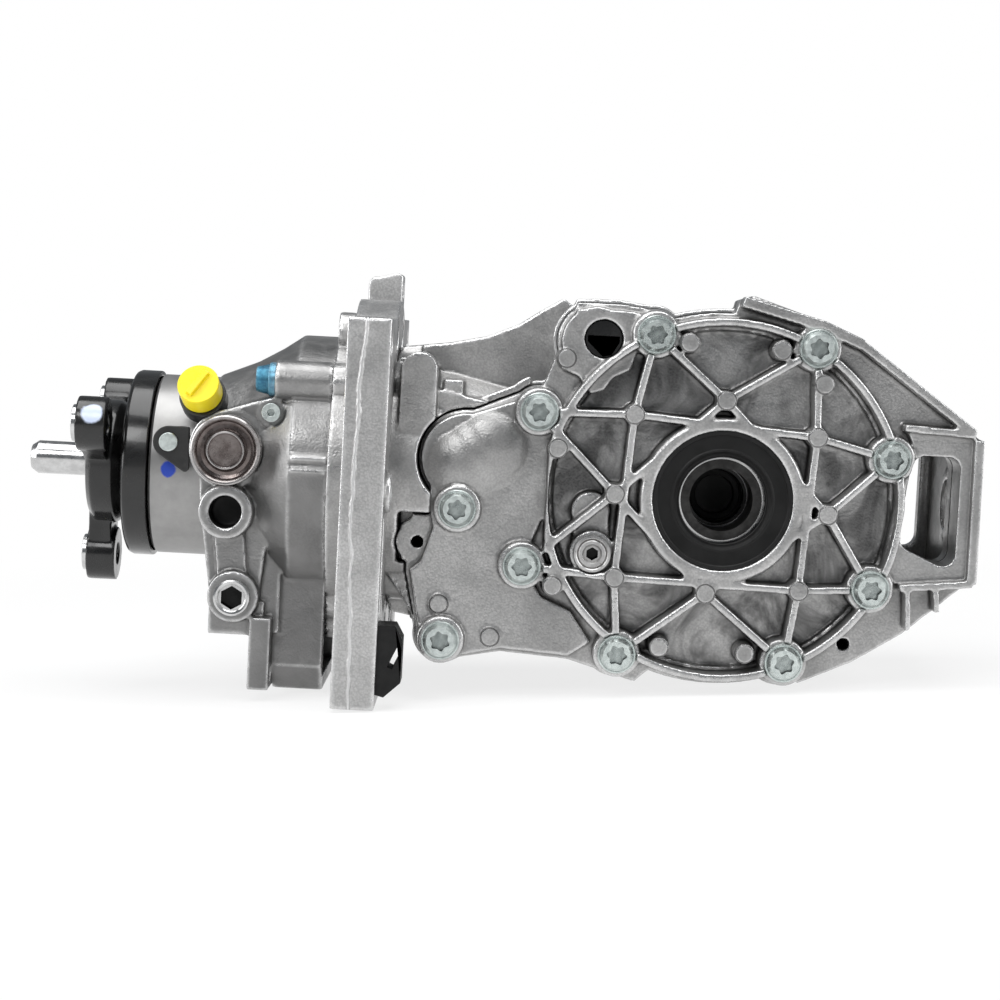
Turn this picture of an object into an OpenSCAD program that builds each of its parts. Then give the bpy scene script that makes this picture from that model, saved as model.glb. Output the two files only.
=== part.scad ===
// Rear drive unit: clutch coupling at the front, spiral bevel differential at the rear.
// X runs rearward from the front face of the input flange, Z is up.
// The photographed side, with the ribbed cover, faces -Y.

/* [Layout] */
// Distance from the flange face to the output axis
axle_x = 303.5; // [300:0.5:308]
// Plane where the cover meets the main case, toward the viewer
split_y = 38; // [37:0.5:40]
// Plane of the rib tops of the cover
rib_top_y = 66; // [65:0.5:70]
// Outer face of the far hub of the main case
far_hub_y = 62; // [60:0.5:68]

/* [Side cover] */
// Radius of the ribbed round part of the cover
bell_r = 87; // [86:0.5:90]
// Thickness of the cover and case walls
wall = 5; // [4:0.25:6]
// Width of the ribs
rib_w = 3.4; // [2.6:0.2:4.4]
// Radius of the ejector pads on the ribs
pad_r = 4.7; // [3.8:0.1:5.4]
// Depth of the pockets between the ribs
pocket_depth = 16; // [12:0.5:16]
// Outer radius of the hub round the output seal
hub_r = 38.5; // [37:0.5:40]
// Thickness of the sealant bead
sealant_t = 0.6; // [0.4:0.1:1]

/* [Fasteners] */
// Flange radius of the cover bolts
bolt_flange_r = 9; // [8:0.5:9.5]
// Shank radius of the cover bolts
bolt_r = 4; // [3.5:0.25:4.5]
// Clearance round every bolt shank
bolt_gap = 0.25; // [0.15:0.05:0.5]
// Height of a cover bolt head
bolt_head_h = 6; // [5.5:0.5:8]

/* [Input] */
// Radius of the circle of flange bolt holes
flange_pcr = 46; // [44:0.5:48]
// Radius of the holes in the flange arms
flange_hole_r = 5.25; // [4.5:0.25:6]
// Radius of an arm end
arm_r = 13; // [12:0.5:14]
// Thickness of the flange arms
arm_t = 14; // [12:0.5:15]
// Turn of the flange at rest, degrees
flange_turn = 5; // [0:1:30]
// Radius of the pilot pin
pilot_r = 8; // [7:0.25:9]
// Reach of the pilot pin in front of the flange
pilot_reach = 29; // [24:1:34]
// Radius of the dust shield
shield_r = 45; // [44:0.5:46]
// Radius of the turned front nose
nose_r = 43.5; // [42.5:0.25:44]

/* [Coupling] */
// Outer radius of the coupling case at its flange
coupling_r = 66; // [65:0.5:68]
// Radius of the clutch drum
drum_r = 53; // [52:0.5:54]
// Number of drive plates
plate_count = 6; // [4:1:7]
// Travel of the clutch piston
piston_travel = 1.2; // [0.8:0.1:1.6]
// Radius of the pump motor can
motor_r = 16.5; // [15.5:0.25:17.5]
// Bore radius of the open oil port
port_r = 7.6; // [6.5:0.1:8.5]

/* [Bevel gears] */
// Teeth on the drive pinion
pinion_teeth = 14; // [13:1:15]
// Teeth on the ring gear
ring_teeth = 39; // [37:1:41]
// Outer pitch radius of the ring gear
ring_pitch_r = 70; // [68:0.5:71]
// Width of the gear faces
gear_face = 25; // [22:0.5:26]
// Spiral angle, degrees
spiral = 30; // [20:1:35]
// Play between meshing teeth
backlash = 0.7; // [0.5:0.05:1]
// Teeth on a side gear
side_teeth = 14; // [14:1:14]
// Teeth on a spider gear
spider_teeth = 10; // [10:1:10]
// Cone distance of the side and spider gears
diff_cone = 29; // [27:0.5:30]
// Radius of the output spline bore
spline_r = 13; // [12:0.25:13.5]

/* [Bearings and seals] */
// Radius of the differential journals
journal_r = 19; // [18:0.25:20]
// Outer radius of the side bearing cups
side_cup_r = 31; // [30:0.25:32]
// Width of the side bearings
side_brg_w = 15; // [14:0.5:16]
// Outer radius of the output seals
seal_r = 32.5; // [31.5:0.25:33]
// Lip radius of the output seals
seal_lip_r = 20; // [19:0.25:21]
// Outer radius of the pinion bearing cups
pinion_cup_r = 36; // [35:0.25:37]
// Radius of the pinion shaft at its head bearing
pinion_shaft_r = 17.5; // [16.5:0.25:18.5]
// Running gap of rollers and balls
run_gap = 0.08; // [0.05:0.01:0.12]

/* [Mounting frame] */
// Half width of the frame across the unit
frame_half = 95; // [90:1:98]
// Thickness of the frame along the unit
frame_t = 20; // [18:0.5:22]
// Height of the frame above the input axis
frame_top = 76; // [72:1:80]
// Depth of the frame below the input axis
frame_low = 102; // [98:1:106]
// Radius of the holes in the frame
frame_hole_r = 6.25; // [5.25:0.25:7]
// Radius of the hole in the rear mount
rear_hole_r = 12; // [10:0.25:13]

/* [Hidden] */
$fn = 64;

// Colours of the bare materials
cast_c = [0.70, 0.70, 0.69];
steel_c = [0.62, 0.63, 0.65];
dark_c = [0.10, 0.10, 0.11];
zinc_c = [0.74, 0.77, 0.76];

// Cone angles and cone distance of the spiral bevel pair
pinion_cone = atan(pinion_teeth / ring_teeth);
ring_cone = 90 - pinion_cone;
gear_cone = ring_pitch_r / sin(ring_cone);
pinion_pitch_r = gear_cone * sin(pinion_cone);
gear_module = 2 * ring_pitch_r / ring_teeth;
gear_shift = 0.3;

// Tooth heights as shares of the module, long on the pinion and short on the ring
pinion_add = 1.15;
ring_add = 0.6;
tooth_clear = 0.25;

// Points on the round part of the cover follow its radius
function spread(p) = [axle_x + (p[0] - axle_x) * bell_r / 87, p[1] * bell_r / 87];

// Cover bolts and the points where ribs cross, as X and Z of the photographed side
bolt_a = spread([268.8, 75.1]);
bolt_b = [216.6, 36.7];
bolt_c = [180.8, -10.3];
bolt_d = [176.0, -71.8];
bolt_e = [212.1, -35.2];
bolt_f = spread([258.4, -74.0]);
bolt_g = spread([336.1, -74.1]);
bolt_h = spread([374.4, -37.9]);
bolt_i = spread([380.8, 23.0]);
bolt_j = spread([343.7, 72.5]);
cover_bolt_xz = [bolt_a, bolt_b, bolt_c, bolt_d, bolt_e, bolt_f, bolt_g, bolt_h, bolt_i, bolt_j];
knot_top = spread([302.7, 46.4]);
knot_top_left = spread([260.7, 37.8]);
knot_left = spread([253.5, 0.5]);
knot_low_left = spread([255.3, -38.3]);
knot_low = spread([297.9, -43.5]);
knot_low_right = spread([341.0, -40.1]);
knot_right = spread([352.5, -4.1]);
knot_top_right = spread([345.7, 31.5]);
small_pads = [for (p = [[284.3, 72.2], [226.0, 20.3], [226.8, -43.6], [277.8, -69.6], [317.7, -70.6],
    [326.9, 70.9], [347.4, 56.1]]) spread(p)];
knots = [knot_top, knot_top_left, knot_left, knot_low_left, knot_low, knot_low_right,
    knot_right, knot_top_right];
ribs = [[bolt_b, knot_top_left], [knot_top_left, knot_top_right], [knot_top_right, bolt_i],
    [bolt_e, knot_low_left], [knot_low_left, knot_low_right], [knot_low_right, bolt_h],
    [bolt_a, knot_top_left], [knot_top_left, knot_low_left], [knot_low_left, bolt_f],
    [bolt_j, knot_top_right], [knot_top_right, knot_low_right], [knot_low_right, bolt_g],
    [bolt_a, knot_top], [knot_top, knot_right], [knot_right, bolt_h],
    [bolt_b, knot_left], [knot_left, knot_low], [knot_low, bolt_g],
    [bolt_e, knot_left], [knot_left, knot_top], [knot_top, bolt_j],
    [bolt_f, knot_low], [knot_low, knot_right], [knot_right, bolt_i]];
fill_xz = [244.5, -27.8];
vent_xz = [244.9, 71.9];
ear_xz = [162.7, -27.5];
tab_hole_xz = [365, -65.3];
tab_hole_r = 2.7;
vent_hole_r = 9;
fill_hole_r = 6.5;

domes = [[182.5, 9.5], [189, 14], [195.5, 18.5]];
dome_r = 30;
dome_h = 5.5;
dowel_xz = [[228, 66], [388, -46]];
dowel_r = 3;

// Levels of the cover, all toward -Y
flange_y = split_y + sealant_t;
flange_face_y = rib_top_y - 14;
pocket_y = rib_top_y - pocket_depth;
boss_y = rib_top_y - 3;
plate_y = rib_top_y - 9;
fill_seat_y = rib_top_y - 5;
fill_flange_r = 9;
seal_w = 7;
seal_inset = 0.5;
shoulder_t = 2;
side_brg_y = rib_top_y - seal_inset - seal_w - shoulder_t;

// Bolt boss radius and hole radius
boss_r = bolt_flange_r + 2;
hole_r = bolt_r + bolt_gap;
cavity_r = bell_r - 8;

// Stations along the input axis
shield_x = arm_t + 6.5;
shield_w = 12.5;
nose_x = shield_x + shield_w + 0.7;
nose_end = 62;
flange_x = 92;
case_x = 120;
frame_x = 128;
wall_x = 130;
drum_x = 67;
drum_end = 116;
tail_x = 150;
tail_w = 17;
head_w = 20;
head_x = axle_x - gear_cone * cos(pinion_cone) - 9 - head_w;
input_brg_x = nose_x + 12;
input_brg_w = 18;
input_brg_r = 31;
sleeve_r = 20;
shaft_r = 15;

// Radii and faces stepped out from the clutch drum
clutch_cavity_r = drum_r + 3;
tail_cup_r = 33;
neck_r = drum_r + 9;
case_disc_r = neck_r + 8;
coupling_bolt_pcr = neck_r + 5;
frame_bolt_pcr = neck_r + 10.5;
frame_bolt_seat = frame_x + frame_t - 8;
frame_ring_r = neck_r + 23;
groove_in = tail_cup_r + 4;
groove_out = drum_r - 6;
motor_face_y = drum_r + 1;
plug_face_y = drum_r + 4;
port_face_y = drum_r + 9;
drum_front_r = 34;
bolt_seat_x = flange_x + 1;
frame_bolt_r = 5;
frame_bolt_angles = [20, 160, 200, 340];
coupling_bolt_r = 4;
coupling_bolt_angles = [48, 152, 208, 270, 312];

// Places on the near side of the coupling case, as X and Z
motor_xz = [72.3, 11.4];
port_xz = [73.1, -17.5];
pump_plug_xz = [77.7, -57.5];
motor_ear_xz = [91.9, 29.6];
cap_xz = [59.2, 33.9];
lug_xz = [43.9, 13.2];
motor_len = 12;
bracket_y = 46.4;
rotor_r = 8;
rotor_w = 5;

// Far side of the main case, all toward +Y
bell_y = 42;
far_brg_y = 33;
far_side_y = 58;
tube_end = axle_x - cavity_r + 1;
head_seat_end = max(tube_end + 4, head_x + head_w + 1);

// Extrudes a shape drawn in X and Z from y0 to y1
module slab(y0, y1) {
    translate([0, y1, 0]) rotate([90, 0, 0]) linear_extrude(y1 - y0) children();
}

// Turns a profile of [radius, X] pairs about the input axis
module turn_x(profile, sides = 96) {
    rotate([0, 90, 0]) rotate_extrude($fn = sides) polygon(profile);
}

// Turns a profile of [radius, Y] pairs about the output axis
module turn_y(profile, sides = 96) {
    translate([axle_x, 0, 0]) rotate([-90, 0, 0]) rotate_extrude($fn = sides) polygon(profile);
}

module rod_x(x0, x1, r, sides = 96) {
    translate([x0, 0, 0]) rotate([0, 90, 0]) cylinder(r = r, h = x1 - x0, $fn = sides);
}

module rod_y(y0, y1, r, sides = 96) {
    translate([0, y0, 0]) rotate([-90, 0, 0]) cylinder(r = r, h = y1 - y0, $fn = sides);
}

// Moves children to a point given as [X, Z]
module at(xz) {
    translate([xz[0], 0, xz[1]]) children();
}

// Straight bar between two points of a flat shape
module bar(p, q, w) {
    d = q - p;
    translate(p) rotate(atan2(d[1], d[0])) translate([0, -w / 2]) square([norm(d), w]);
}

// Bevel gear teeth. A tooth surface is one flank curve scaled about the apex and
// turned by a logarithmic spiral, so both gears of a pair mesh along the whole face.
function inv(a) = tan(a) * 180 / PI - a;
function half_angle(rho, rv, thick) = let(rb = rv * cos(20), r = max(rho, rb * 1.0001))
    thick / (2 * rv) * 180 / PI + inv(20) - inv(acos(rb / r));

// Flank curve of one tooth on the back cone: [height over the pitch cone, angle]
function flank(rv, cone, thick, add, ded, steps) = [for (i = [0 : steps])
    let(h = -ded + (add + ded) * i / steps)
    [h, half_angle(rv + h, rv, thick) / cos(cone)]];
function tooth(points) = concat([for (p = points) [p[0], -p[1]]],
    [for (i = [len(points) - 1 : -1 : 0]) points[i]]);

// One ring of points round a gear where the tooth surface meets a chosen station,
// each given as [radius, angle, height]
function gear_loop(teeth, points, cone, dist, twist, phase, station, flat) =
    [for (t = [0 : teeth - 1], p = points)
        let(r1 = dist * sin(cone) + p[0] * cos(cone), z1 = dist * cos(cone) - p[0] * sin(cone),
            s = station / (flat ? z1 : r1),
            a = phase + t * 360 / teeth + p[1] + twist * ln(s) * 180 / PI)
        [s * r1, a, s * z1]];

// Plain circle that follows a loop, its points shifted part of the way to even spacing
function plain_loop(loop, r, z) = let(n = len(loop), a0 = loop[0][1])
    [for (i = [0 : n - 1]) [r, (loop[i][1] + a0 + (i + 0.5) * 360 / n) / 2, z]];
function placed(loop) = [for (p = loop) [p[0] * cos(p[1]), p[0] * sin(p[1]), p[2]]];

// Faces of a band of loops. The last loop joins the first when joins equals loops
function band_faces(n, loops, joins) = [for (k = [0 : joins - 1], i = [0 : n - 1], half = [0, 1])
    let(a = k * n + i, b = k * n + (i + 1) % n,
        c = ((k + 1) % loops) * n + i, d = ((k + 1) % loops) * n + (i + 1) % n)
    half == 0 ? [a, c, b] : [b, c, d]];
module band(loops) {
    polyhedron([for (l = loops) each placed(l)],
        band_faces(len(loops[0]), len(loops), len(loops)), convexity = 8);
}

// Solid gear whose teeth end on flat planes
module flat_gear(teeth, points, cone, dist, twist, phase, z_in, z_out, steps) {
    step = (z_out - z_in) / steps;
    loops = [for (k = [-0.2, each [1 : steps - 1], steps + 0.2]) gear_loop(teeth, points, cone,
        dist, twist, phase, z_in + step * k, true)];
    n = len(loops[0]);
    intersection() {
        polyhedron([for (l = loops) each placed(l)], concat(band_faces(n, steps + 1, steps),
            [[for (i = [0 : n - 1]) i]], [[for (i = [n - 1 : -1 : 0]) steps * n + i]]), convexity = 8);
        translate([0, 0, z_in]) cylinder(r = 2 * dist, h = z_out - z_in);
    }
}
module crown_gear(teeth, points, cone, dist, twist, phase, r_in, r_out, bore, back_z, steps) {
    loops = [for (k = [0 : steps]) gear_loop(teeth, points, cone, dist, twist, phase,
        r_in + (r_out - r_in) * k / steps, false)];
    band(concat([plain_loop(loops[0], bore, back_z)], loops,
        [plain_loop(loops[steps], r_out, back_z)]));
}

// Cover outline on the split plane, grown by g for the lip of the main case
module cover_outline(g = 0) {
    translate([axle_x, 0]) circle(r = bell_r + g, $fn = 128);
    for (p = cover_bolt_xz) translate(p) circle(r = boss_r + 1 + g);
    // lobe round the breather
    translate([241.5, 70.5]) circle(r = 18 + g);
    polygon([[232, 88 + g], [252, 88.5 + g], [272, 86 + g], [262, 40], [215, 40]]);
    // domed part and lower plate
    translate([184, 13]) circle(r = 22.5 + g);
    polygon([[186, 35.5 + g], [214, 47.5 + g], [240, 40], [240, -60], [168, -60], [168, 20]]);
    polygon([[158 - g, -42], [165 - g, -72], [176, -82.5 - g], [204, -77 - g], [236, -79 - g],
        [268, -88 - g], [300, -60], [168, -20], [160, -14], [158 - g, -20]]);
    // wing that carries the rear mount
    polygon([[307, 93], [314, 95.5], [346, 85.5], [365, 77], [418.5, 38.5], [422, 34],
        [424, -17], [420.5, -34.5], [392.5, -59], [370, -73.5], [345, -85], [300, -60], [300, 60]]);
}

// Opening of the rear mount, seen from the side
module mount_window() {
    hull() {
        translate([397.5, 18.5]) circle(r = 7, $fn = 32);
        translate([407.5, 19.5]) circle(r = 6, $fn = 32);
        translate([407.5, -19.5]) circle(r = 6, $fn = 32);
        translate([395.5, -11]) circle(r = 9, $fn = 32);
    }
}

module offset_ear() {
    translate(ear_xz) circle(r = 10.8);
    translate([153, -38]) square([24, 25]);
}

module ear_outline() {
    translate(ear_xz) circle(r = 10);
    polygon([[154.5, -20], [162, -14.5], [176, -14.5], [176, -36], [156, -36.5], [154, -30]]);
}

// Inner cavity with the bolt bosses left standing
module cavity_outline(r) {
    difference() {
        translate([axle_x, 0]) circle(r = r, $fn = 128);
        for (p = cover_bolt_xz) translate(p) circle(r = bolt_r + 4);
    }
}

module bolt_holes(y0, y1) {
    for (p = cover_bolt_xz) at(p) rod_y(y0, y1, hole_r);
}

module dowel_holes(y0, y1) {
    for (p = dowel_xz) at(p) rod_y(y0, y1, dowel_r + 0.05);
}

// Ribbed field of the cover, to the right of the smooth plate
module rib_field() {
    intersection() {
        union() {
            for (r = ribs) bar(r[0], r[1], rib_w);
            difference() {
                translate([axle_x, 0]) circle(r = bell_r - 2.6, $fn = 128);
                translate([axle_x, 0]) circle(r = bell_r - 2.6 - rib_w, $fn = 128);
            }
        }
        translate([222, -100]) square([190, 200]);
    }
}

module side_cover() color(cast_c) {
    difference() {
        union() {
            // mounting flange
            slab(-flange_face_y, -flange_y) difference() {
                cover_outline();
                intersection() {
                    cavity_outline(cavity_r);
                    translate([224, -100]) square([200, 200]);
                }
            }
            // dished floor of the round part
            turn_y([[hub_r - 1, -pocket_y - 1.5], [cavity_r + 1, -pocket_y + 0.5],
                [cavity_r + 1, -pocket_y + 0.5 + wall], [hub_r - 1, -pocket_y - 1.5 + wall]], 128);
            // hub round the seal and bearing
            turn_y([[0, -rib_top_y], [hub_r - 1.5, -rib_top_y], [hub_r, -rib_top_y + 1.5],
                [hub_r, -side_brg_y + side_brg_w - 1], [0, -side_brg_y + side_brg_w - 1]]);
            slab(-rib_top_y, -pocket_y + 3) rib_field();
            for (p = knots) at(p) rod_y(-rib_top_y - 0.5, -pocket_y + 3, pad_r);
            for (p = small_pads) at(p) rod_y(-rib_top_y - 0.5, -pocket_y + 3, pad_r);
            for (p = cover_bolt_xz) at(p) rod_y(-boss_y, -flange_y, boss_r);
            // smooth plate, breather lobe and filler boss
            slab(-plate_y, -flange_face_y) smooth_plate();
            for (p = domes) at(p) translate([0, -plate_y - dome_h + dome_r, 0]) intersection() {
                sphere(r = dome_r, $fn = 96);
                rod_y(-dome_r - 1, -dome_r + dome_h + 0.5, dome_r - 2);
            }
            slab(-plate_y, -flange_face_y) lobe_plate();
            at(fill_xz) rod_y(-fill_seat_y, -pocket_y + 3, 10.5);
            at([243, -8.5]) rod_y(-rib_top_y + 8, -pocket_y + 3, 9);
            slab(-rib_top_y + 8, -pocket_y + 3) bar([243, -8.5], fill_xz, 16.4);
            // wing walls round the rear mount
            slab(-rib_top_y + 2, -flange_face_y) wing_walls();
            slab(-rib_top_y + 6, -flange_face_y) mount_face();
            slab(-flange_face_y, -flange_y) ear_outline();
        }
        // breather lobe recess and holes
        at(vent_xz) rod_y(-rib_top_y, -split_y + 5, vent_hole_r);
        at(fill_xz) rod_y(-rib_top_y, -split_y + 5, fill_hole_r);
        at(ear_xz) rod_y(-rib_top_y, -split_y + 5, tab_hole_r);
        at(tab_hole_xz) rod_y(-rib_top_y, -split_y + 5, tab_hole_r);
        slab(-rib_top_y - 5, -split_y + 5) mount_window();
        bolt_holes(-rib_top_y, -split_y + 5);
        for (p = cover_bolt_xz) at(p) rod_y(-rib_top_y - 2, -boss_y, bolt_flange_r + 0.5);
        at(fill_xz) rod_y(-rib_top_y - 2, -fill_seat_y, fill_flange_r + 0.5);
        dowel_holes(-split_y - 9, -split_y + 1);
        // seal seat, shoulder and bearing seat
        turn_y([[0, -rib_top_y - 1], [seal_r, -rib_top_y - 1], [seal_r, -side_brg_y - shoulder_t],
            [side_cup_r - 3, -side_brg_y - shoulder_t], [side_cup_r - 3, -side_brg_y],
            [side_cup_r, -side_brg_y], [side_cup_r, -split_y + 5], [0, -split_y + 5]]);
    }
}

module smooth_plate() {
    intersection() {
        union() {
            translate([184, 13]) circle(r = 21);
            polygon([[160, -40], [166, -72], [178, -81], [204, -75], [236, -77], [246, -70],
                [236, -56], [222, -50], [212, -35], [221, -12], [224, -2], [224, 26], [220, 46],
                [186, 34], [163, 10], [170, -20], [165, -36]]);
        }
        cover_outline(-1.5);
    }
}

module lobe_plate() {
    translate([241.5, 70.5]) circle(r = 16);
    polygon([[232, 85], [252, 85.5], [266, 84], [258, 58], [250, 54], [246, 48], [240, 46],
        [234, 54], [226, 57]]);
}

module wing_walls() {
    bar([308, 92.5], [346, 83], 5);
    bar([346, 83], [364, 75.5], 5);
    bar([364, 75.5], [419, 36.5], 4);
    bar([419, 36.5], [386, 38], 3.4);
    bar([421, 34], [421.5, -33], 4.6);
    bar([421.5, -33], [388, -36.5], 3.4);
    bar([392, -38], [393, -56], 2.6);
    bar([405, -37], [406, -47], 2.6);
}

module mount_face() {
    polygon([[388, 36], [419, 36], [422, 34], [424, -17], [420.5, -34.5], [386, -34.5],
        [380, -28], [383, -8], [386, 12], [392, 28]]);
}

module cover_sealant() color(dark_c) {
    difference() {
        union() {
            slab(-flange_y, -split_y) cover_outline(0.4);
            slab(-flange_y, -split_y) ear_outline();
        }
        translate([axle_x, 0, 0]) rod_y(-flange_y - 1, -split_y + 1, cavity_r, 128);
        for (p = dowel_xz) at(p) rod_y(-flange_y - 1, -split_y + 1, dowel_r + 0.2);
        at(vent_xz) rod_y(-flange_y - 1, -split_y + 1, vent_hole_r);
        at(fill_xz) rod_y(-flange_y - 1, -split_y + 1, fill_hole_r);
        at(ear_xz) rod_y(-flange_y - 1, -split_y + 1, tab_hole_r);
        at(tab_hole_xz) rod_y(-flange_y - 1, -split_y + 1, tab_hole_r);
        slab(-flange_y - 1, -split_y + 1) mount_window();
        bolt_holes(-flange_y - 1, -split_y + 1);
    }
}

module rear_mount_wall(y0, y1) {
    slab(y0, y1) {
        bar([364, 75.5], [420, 36.5], 4);
        bar([421.5, 37], [421.5, -35], 5);
        bar([421, -34], [370, -72], 4);
    }
}

module neck_profile() {
    polygon([[149, 63], [172, 66], [190, 70], [205, 76.5], [216, 84], [226, 90], [240, 80],
        [240, -66], [206, -76], [180, -72], [160, -67], [149, -65]]);
}

module main_case() color(cast_c) {
    difference() {
        union() {
            // flange that meets the cover, with a lip that stands round it
            slab(-split_y, -split_y + 10) cover_outline(2);
            slab(-split_y - 3, -split_y) difference() {
                intersection() {
                    cover_outline(4.5);
                    translate([150, 3]) square([62, 60]);
                }
                cover_outline(0.9);
            }
            // bell round the ring gear
            turn_y([[0, -split_y + 5], [bell_r - 1, -split_y + 5], [bell_r - 1, 30],
                [bell_r - 8, bell_y], [hub_r + 12, bell_y + 2], [hub_r + 1, bell_y + 8],
                [hub_r + 1, far_hub_y], [0, far_hub_y]], 128);
            for (p = cover_bolt_xz) at(p) rod_y(-split_y, -12, boss_r);
            // ribs on the far side
            for (a = [15 : 45 : 345]) translate([axle_x, 0, 0]) rotate([0, a, 0])
                translate([0, 0, -2]) linear_extrude(4)
                    polygon([[hub_r, 20], [bell_r - 1, 20], [bell_r - 1, 34], [hub_r, 56]]);
            // neck toward the coupling
            rod_x(frame_x - 6, 168, neck_r - 0.4);
            slab(-26, 26) neck_profile();
            turn_x([[0, 150], [neck_r - 2, 150], [neck_r - 4, 176], [48, tube_end], [0, tube_end]]);
            rod_x(case_x, frame_x, case_disc_r);
            frame_bolt_places() rod_x(case_x, frame_x, 10);
            coupling_bolt_places() rod_x(case_x, frame_x - 1, 9.5);
            // machined pad and shoulder on the near side of the neck
            slab(-57, -30) {
                translate([160, 53]) circle(r = 8.5);
                polygon([[151.5, 6], [168.5, 6], [168.5, 53], [151.5, 53]]);
            }
            slab(-47, -20) polygon([[149, 2], [188, 2], [200, 38], [180, 42], [149, 48]]);
            slab(-46, -26) bar([176, 38], [176, 49], 9);
            slab(-44, -20) polygon([[149, -16], [182, -16], [180, -76], [166, -70], [149, -44]]);
            // rear mount
            slab(-split_y, -split_y + 12) rear_plate();
            slab(far_side_y - 8, far_side_y) rear_plate();
            rear_mount_wall(-split_y, far_side_y);
            rod_x(418, 427, rear_hole_r + 5);
        }
        // room for the cover, which the neck passes beside
        slab(-90, -split_y) {
            cover_outline(0.8);
            offset_ear();
        }
        dowel_holes(-split_y - 1, -split_y + 9);
        slab(-split_y - 1, 30) cavity_outline(cavity_r);
        turn_y([[0, 0], [cavity_r, 0], [cavity_r, 29], [cavity_r - 6, bell_y - wall - 1],
            [0, bell_y - wall - 1]]);
        // far hub: bearing seat, shoulder and seal seat
        turn_y([[0, 20], [side_cup_r, 20], [side_cup_r, far_brg_y + side_brg_w],
            [side_cup_r - 3, far_brg_y + side_brg_w], [side_cup_r - 3, far_hub_y - 0.5 - seal_w],
            [seal_r, far_hub_y - 0.5 - seal_w], [seal_r, far_hub_y + 1], [0, far_hub_y + 1]]);
        // clutch cavity, piston groove, bearing seats along the neck
        turn_x([[0, case_x - 1], [clutch_cavity_r, case_x - 1], [clutch_cavity_r, wall_x],
            [groove_out, wall_x], [groove_out, wall_x + 14], [groove_in, wall_x + 14],
            [groove_in, wall_x], [tail_cup_r, wall_x], [tail_cup_r, tail_x + tail_w],
            [tail_cup_r - 4, tail_x + tail_w], [tail_cup_r - 4, head_x], [pinion_cup_r, head_x],
            [pinion_cup_r, head_seat_end], [0, head_seat_end]]);
        // pocket in the far side of the neck
        slab(36, 64) polygon([[176, 46], [214, 44], [222, 60], [212, 72], [196, 66], [176, 60]]);
        bolt_holes(-split_y - 1, -22);
        at(ear_xz) rod_y(-split_y - 1, -split_y + 11, tab_hole_r);
        at(tab_hole_xz) rod_y(-split_y - 1, -split_y + 11, tab_hole_r);
        slab(-split_y - 5, far_side_y + 5) mount_window();
        rod_x(410, 430, rear_hole_r);
        frame_bolt_places() rod_x(case_x + 0.5, frame_x + 1, frame_bolt_r + bolt_gap);
        frame_bolt_places() rod_x(frame_x + frame_t, frame_x + frame_t + 12, 10);
        coupling_bolt_places() rod_x(case_x - 1, frame_x - 1, coupling_bolt_r + bolt_gap);
    }
}

module rear_plate() {
    polygon([[375, 66], [386, 60.5], [420, 37], [424, 34], [424, -34], [421, -36], [392, -58],
        [372, -72], [350, -60], [350, 60]]);
}

module frame_bolt_places() {
    for (a = frame_bolt_angles) rotate([a, 0, 0]) translate([0, 0, frame_bolt_pcr]) children();
}

module coupling_bolt_places() {
    for (a = coupling_bolt_angles) rotate([a, 0, 0]) translate([0, 0, coupling_bolt_pcr]) children();
}

module pump_block() {
    polygon([[62, -24], [59, -14], [57, 18], [66, 28], [90, 36], [99, 30], [99, -75], [70, -72],
        [66, -62]]);
}

module coupling_case() color(cast_c) {
    difference() {
        union() {
            turn_x([[0, nose_end], [nose_r + 1, nose_end], [drum_r - 1, 80], [drum_r + 6, flange_x],
                [coupling_r, flange_x + 10], [coupling_r, case_x], [0, case_x]]);
            coupling_bolt_places() rod_x(bolt_seat_x, case_x, 9.5);
            // sump below the clutch
            difference() {
                translate([flange_x + 4, -44, -103]) cube([case_x - flange_x - 4, 88, 70]);
                for (s = [-1, 1]) translate([flange_x, s * 44, -103]) rotate([s * 45, 0, 0])
                    translate([0, -9, -9]) cube([40, 18, 18]);
            }
            // pump block with its bosses
            slab(-46, -20) pump_block();
            at(motor_xz) rod_y(-motor_face_y, -30, motor_r + 2);
            at(motor_ear_xz) rod_y(-motor_face_y, -30, 6.8);
            slab(-motor_face_y + 1, -30) bar(motor_xz, motor_ear_xz, 13);
            at(port_xz) rod_y(-port_face_y, -30, 12.6);
            at(pump_plug_xz) rod_y(-plug_face_y, -20, 12);
            slab(-plug_face_y + 5, -20) bar(port_xz, pump_plug_xz, 14);
            translate([66, -50, -76]) cube([26, 36, 16]);
            translate([86, -56, -101]) cube([10, 22, 34]);
        }
        // nose seat, drum cavity
        turn_x([[0, nose_end - 1], [shaft_r + 14, nose_end - 1], [shaft_r + 14, 64.5],
            [drum_front_r + 3, 64.5], [drum_front_r + 4, 68], [drum_r - 3, 84],
            [clutch_cavity_r, flange_x], [clutch_cavity_r, case_x + 1], [0, case_x + 1]]);
        translate([flange_x + 9, -36, -96]) cube([case_x - flange_x - 8, 72, 50]);
        at(motor_xz) rod_y(-motor_face_y - 8, -motor_face_y, motor_r + 0.25);
        at(motor_xz) rod_y(-motor_face_y - 8, -motor_face_y + rotor_w + 0.5, rotor_r + 0.15);
        at(port_xz) rod_y(-port_face_y - 1, -port_face_y + 14, port_r);
        at(pump_plug_xz) rod_y(-plug_face_y - 1, -plug_face_y + 18, 6);
        at(motor_ear_xz) rod_y(-motor_face_y - 1, -motor_face_y + 5, 2.6);
        at(motor_ear_xz) rod_y(-motor_face_y - 8, -motor_face_y, 6.8);
        coupling_bolt_places() rod_x(flange_x - 1, case_x + 1, coupling_bolt_r + bolt_gap);
        coupling_bolt_places() rod_x(flange_x - 20, bolt_seat_x, 8.6);
        rod_x(20, nose_end, nose_r + 0.2);
        connector_pose() rod_y(-14, 4.2, 11.3);
        translate([84, -46, -95.5]) rod_x(0, 16, coupling_bolt_r + bolt_gap);
    }
}

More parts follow.
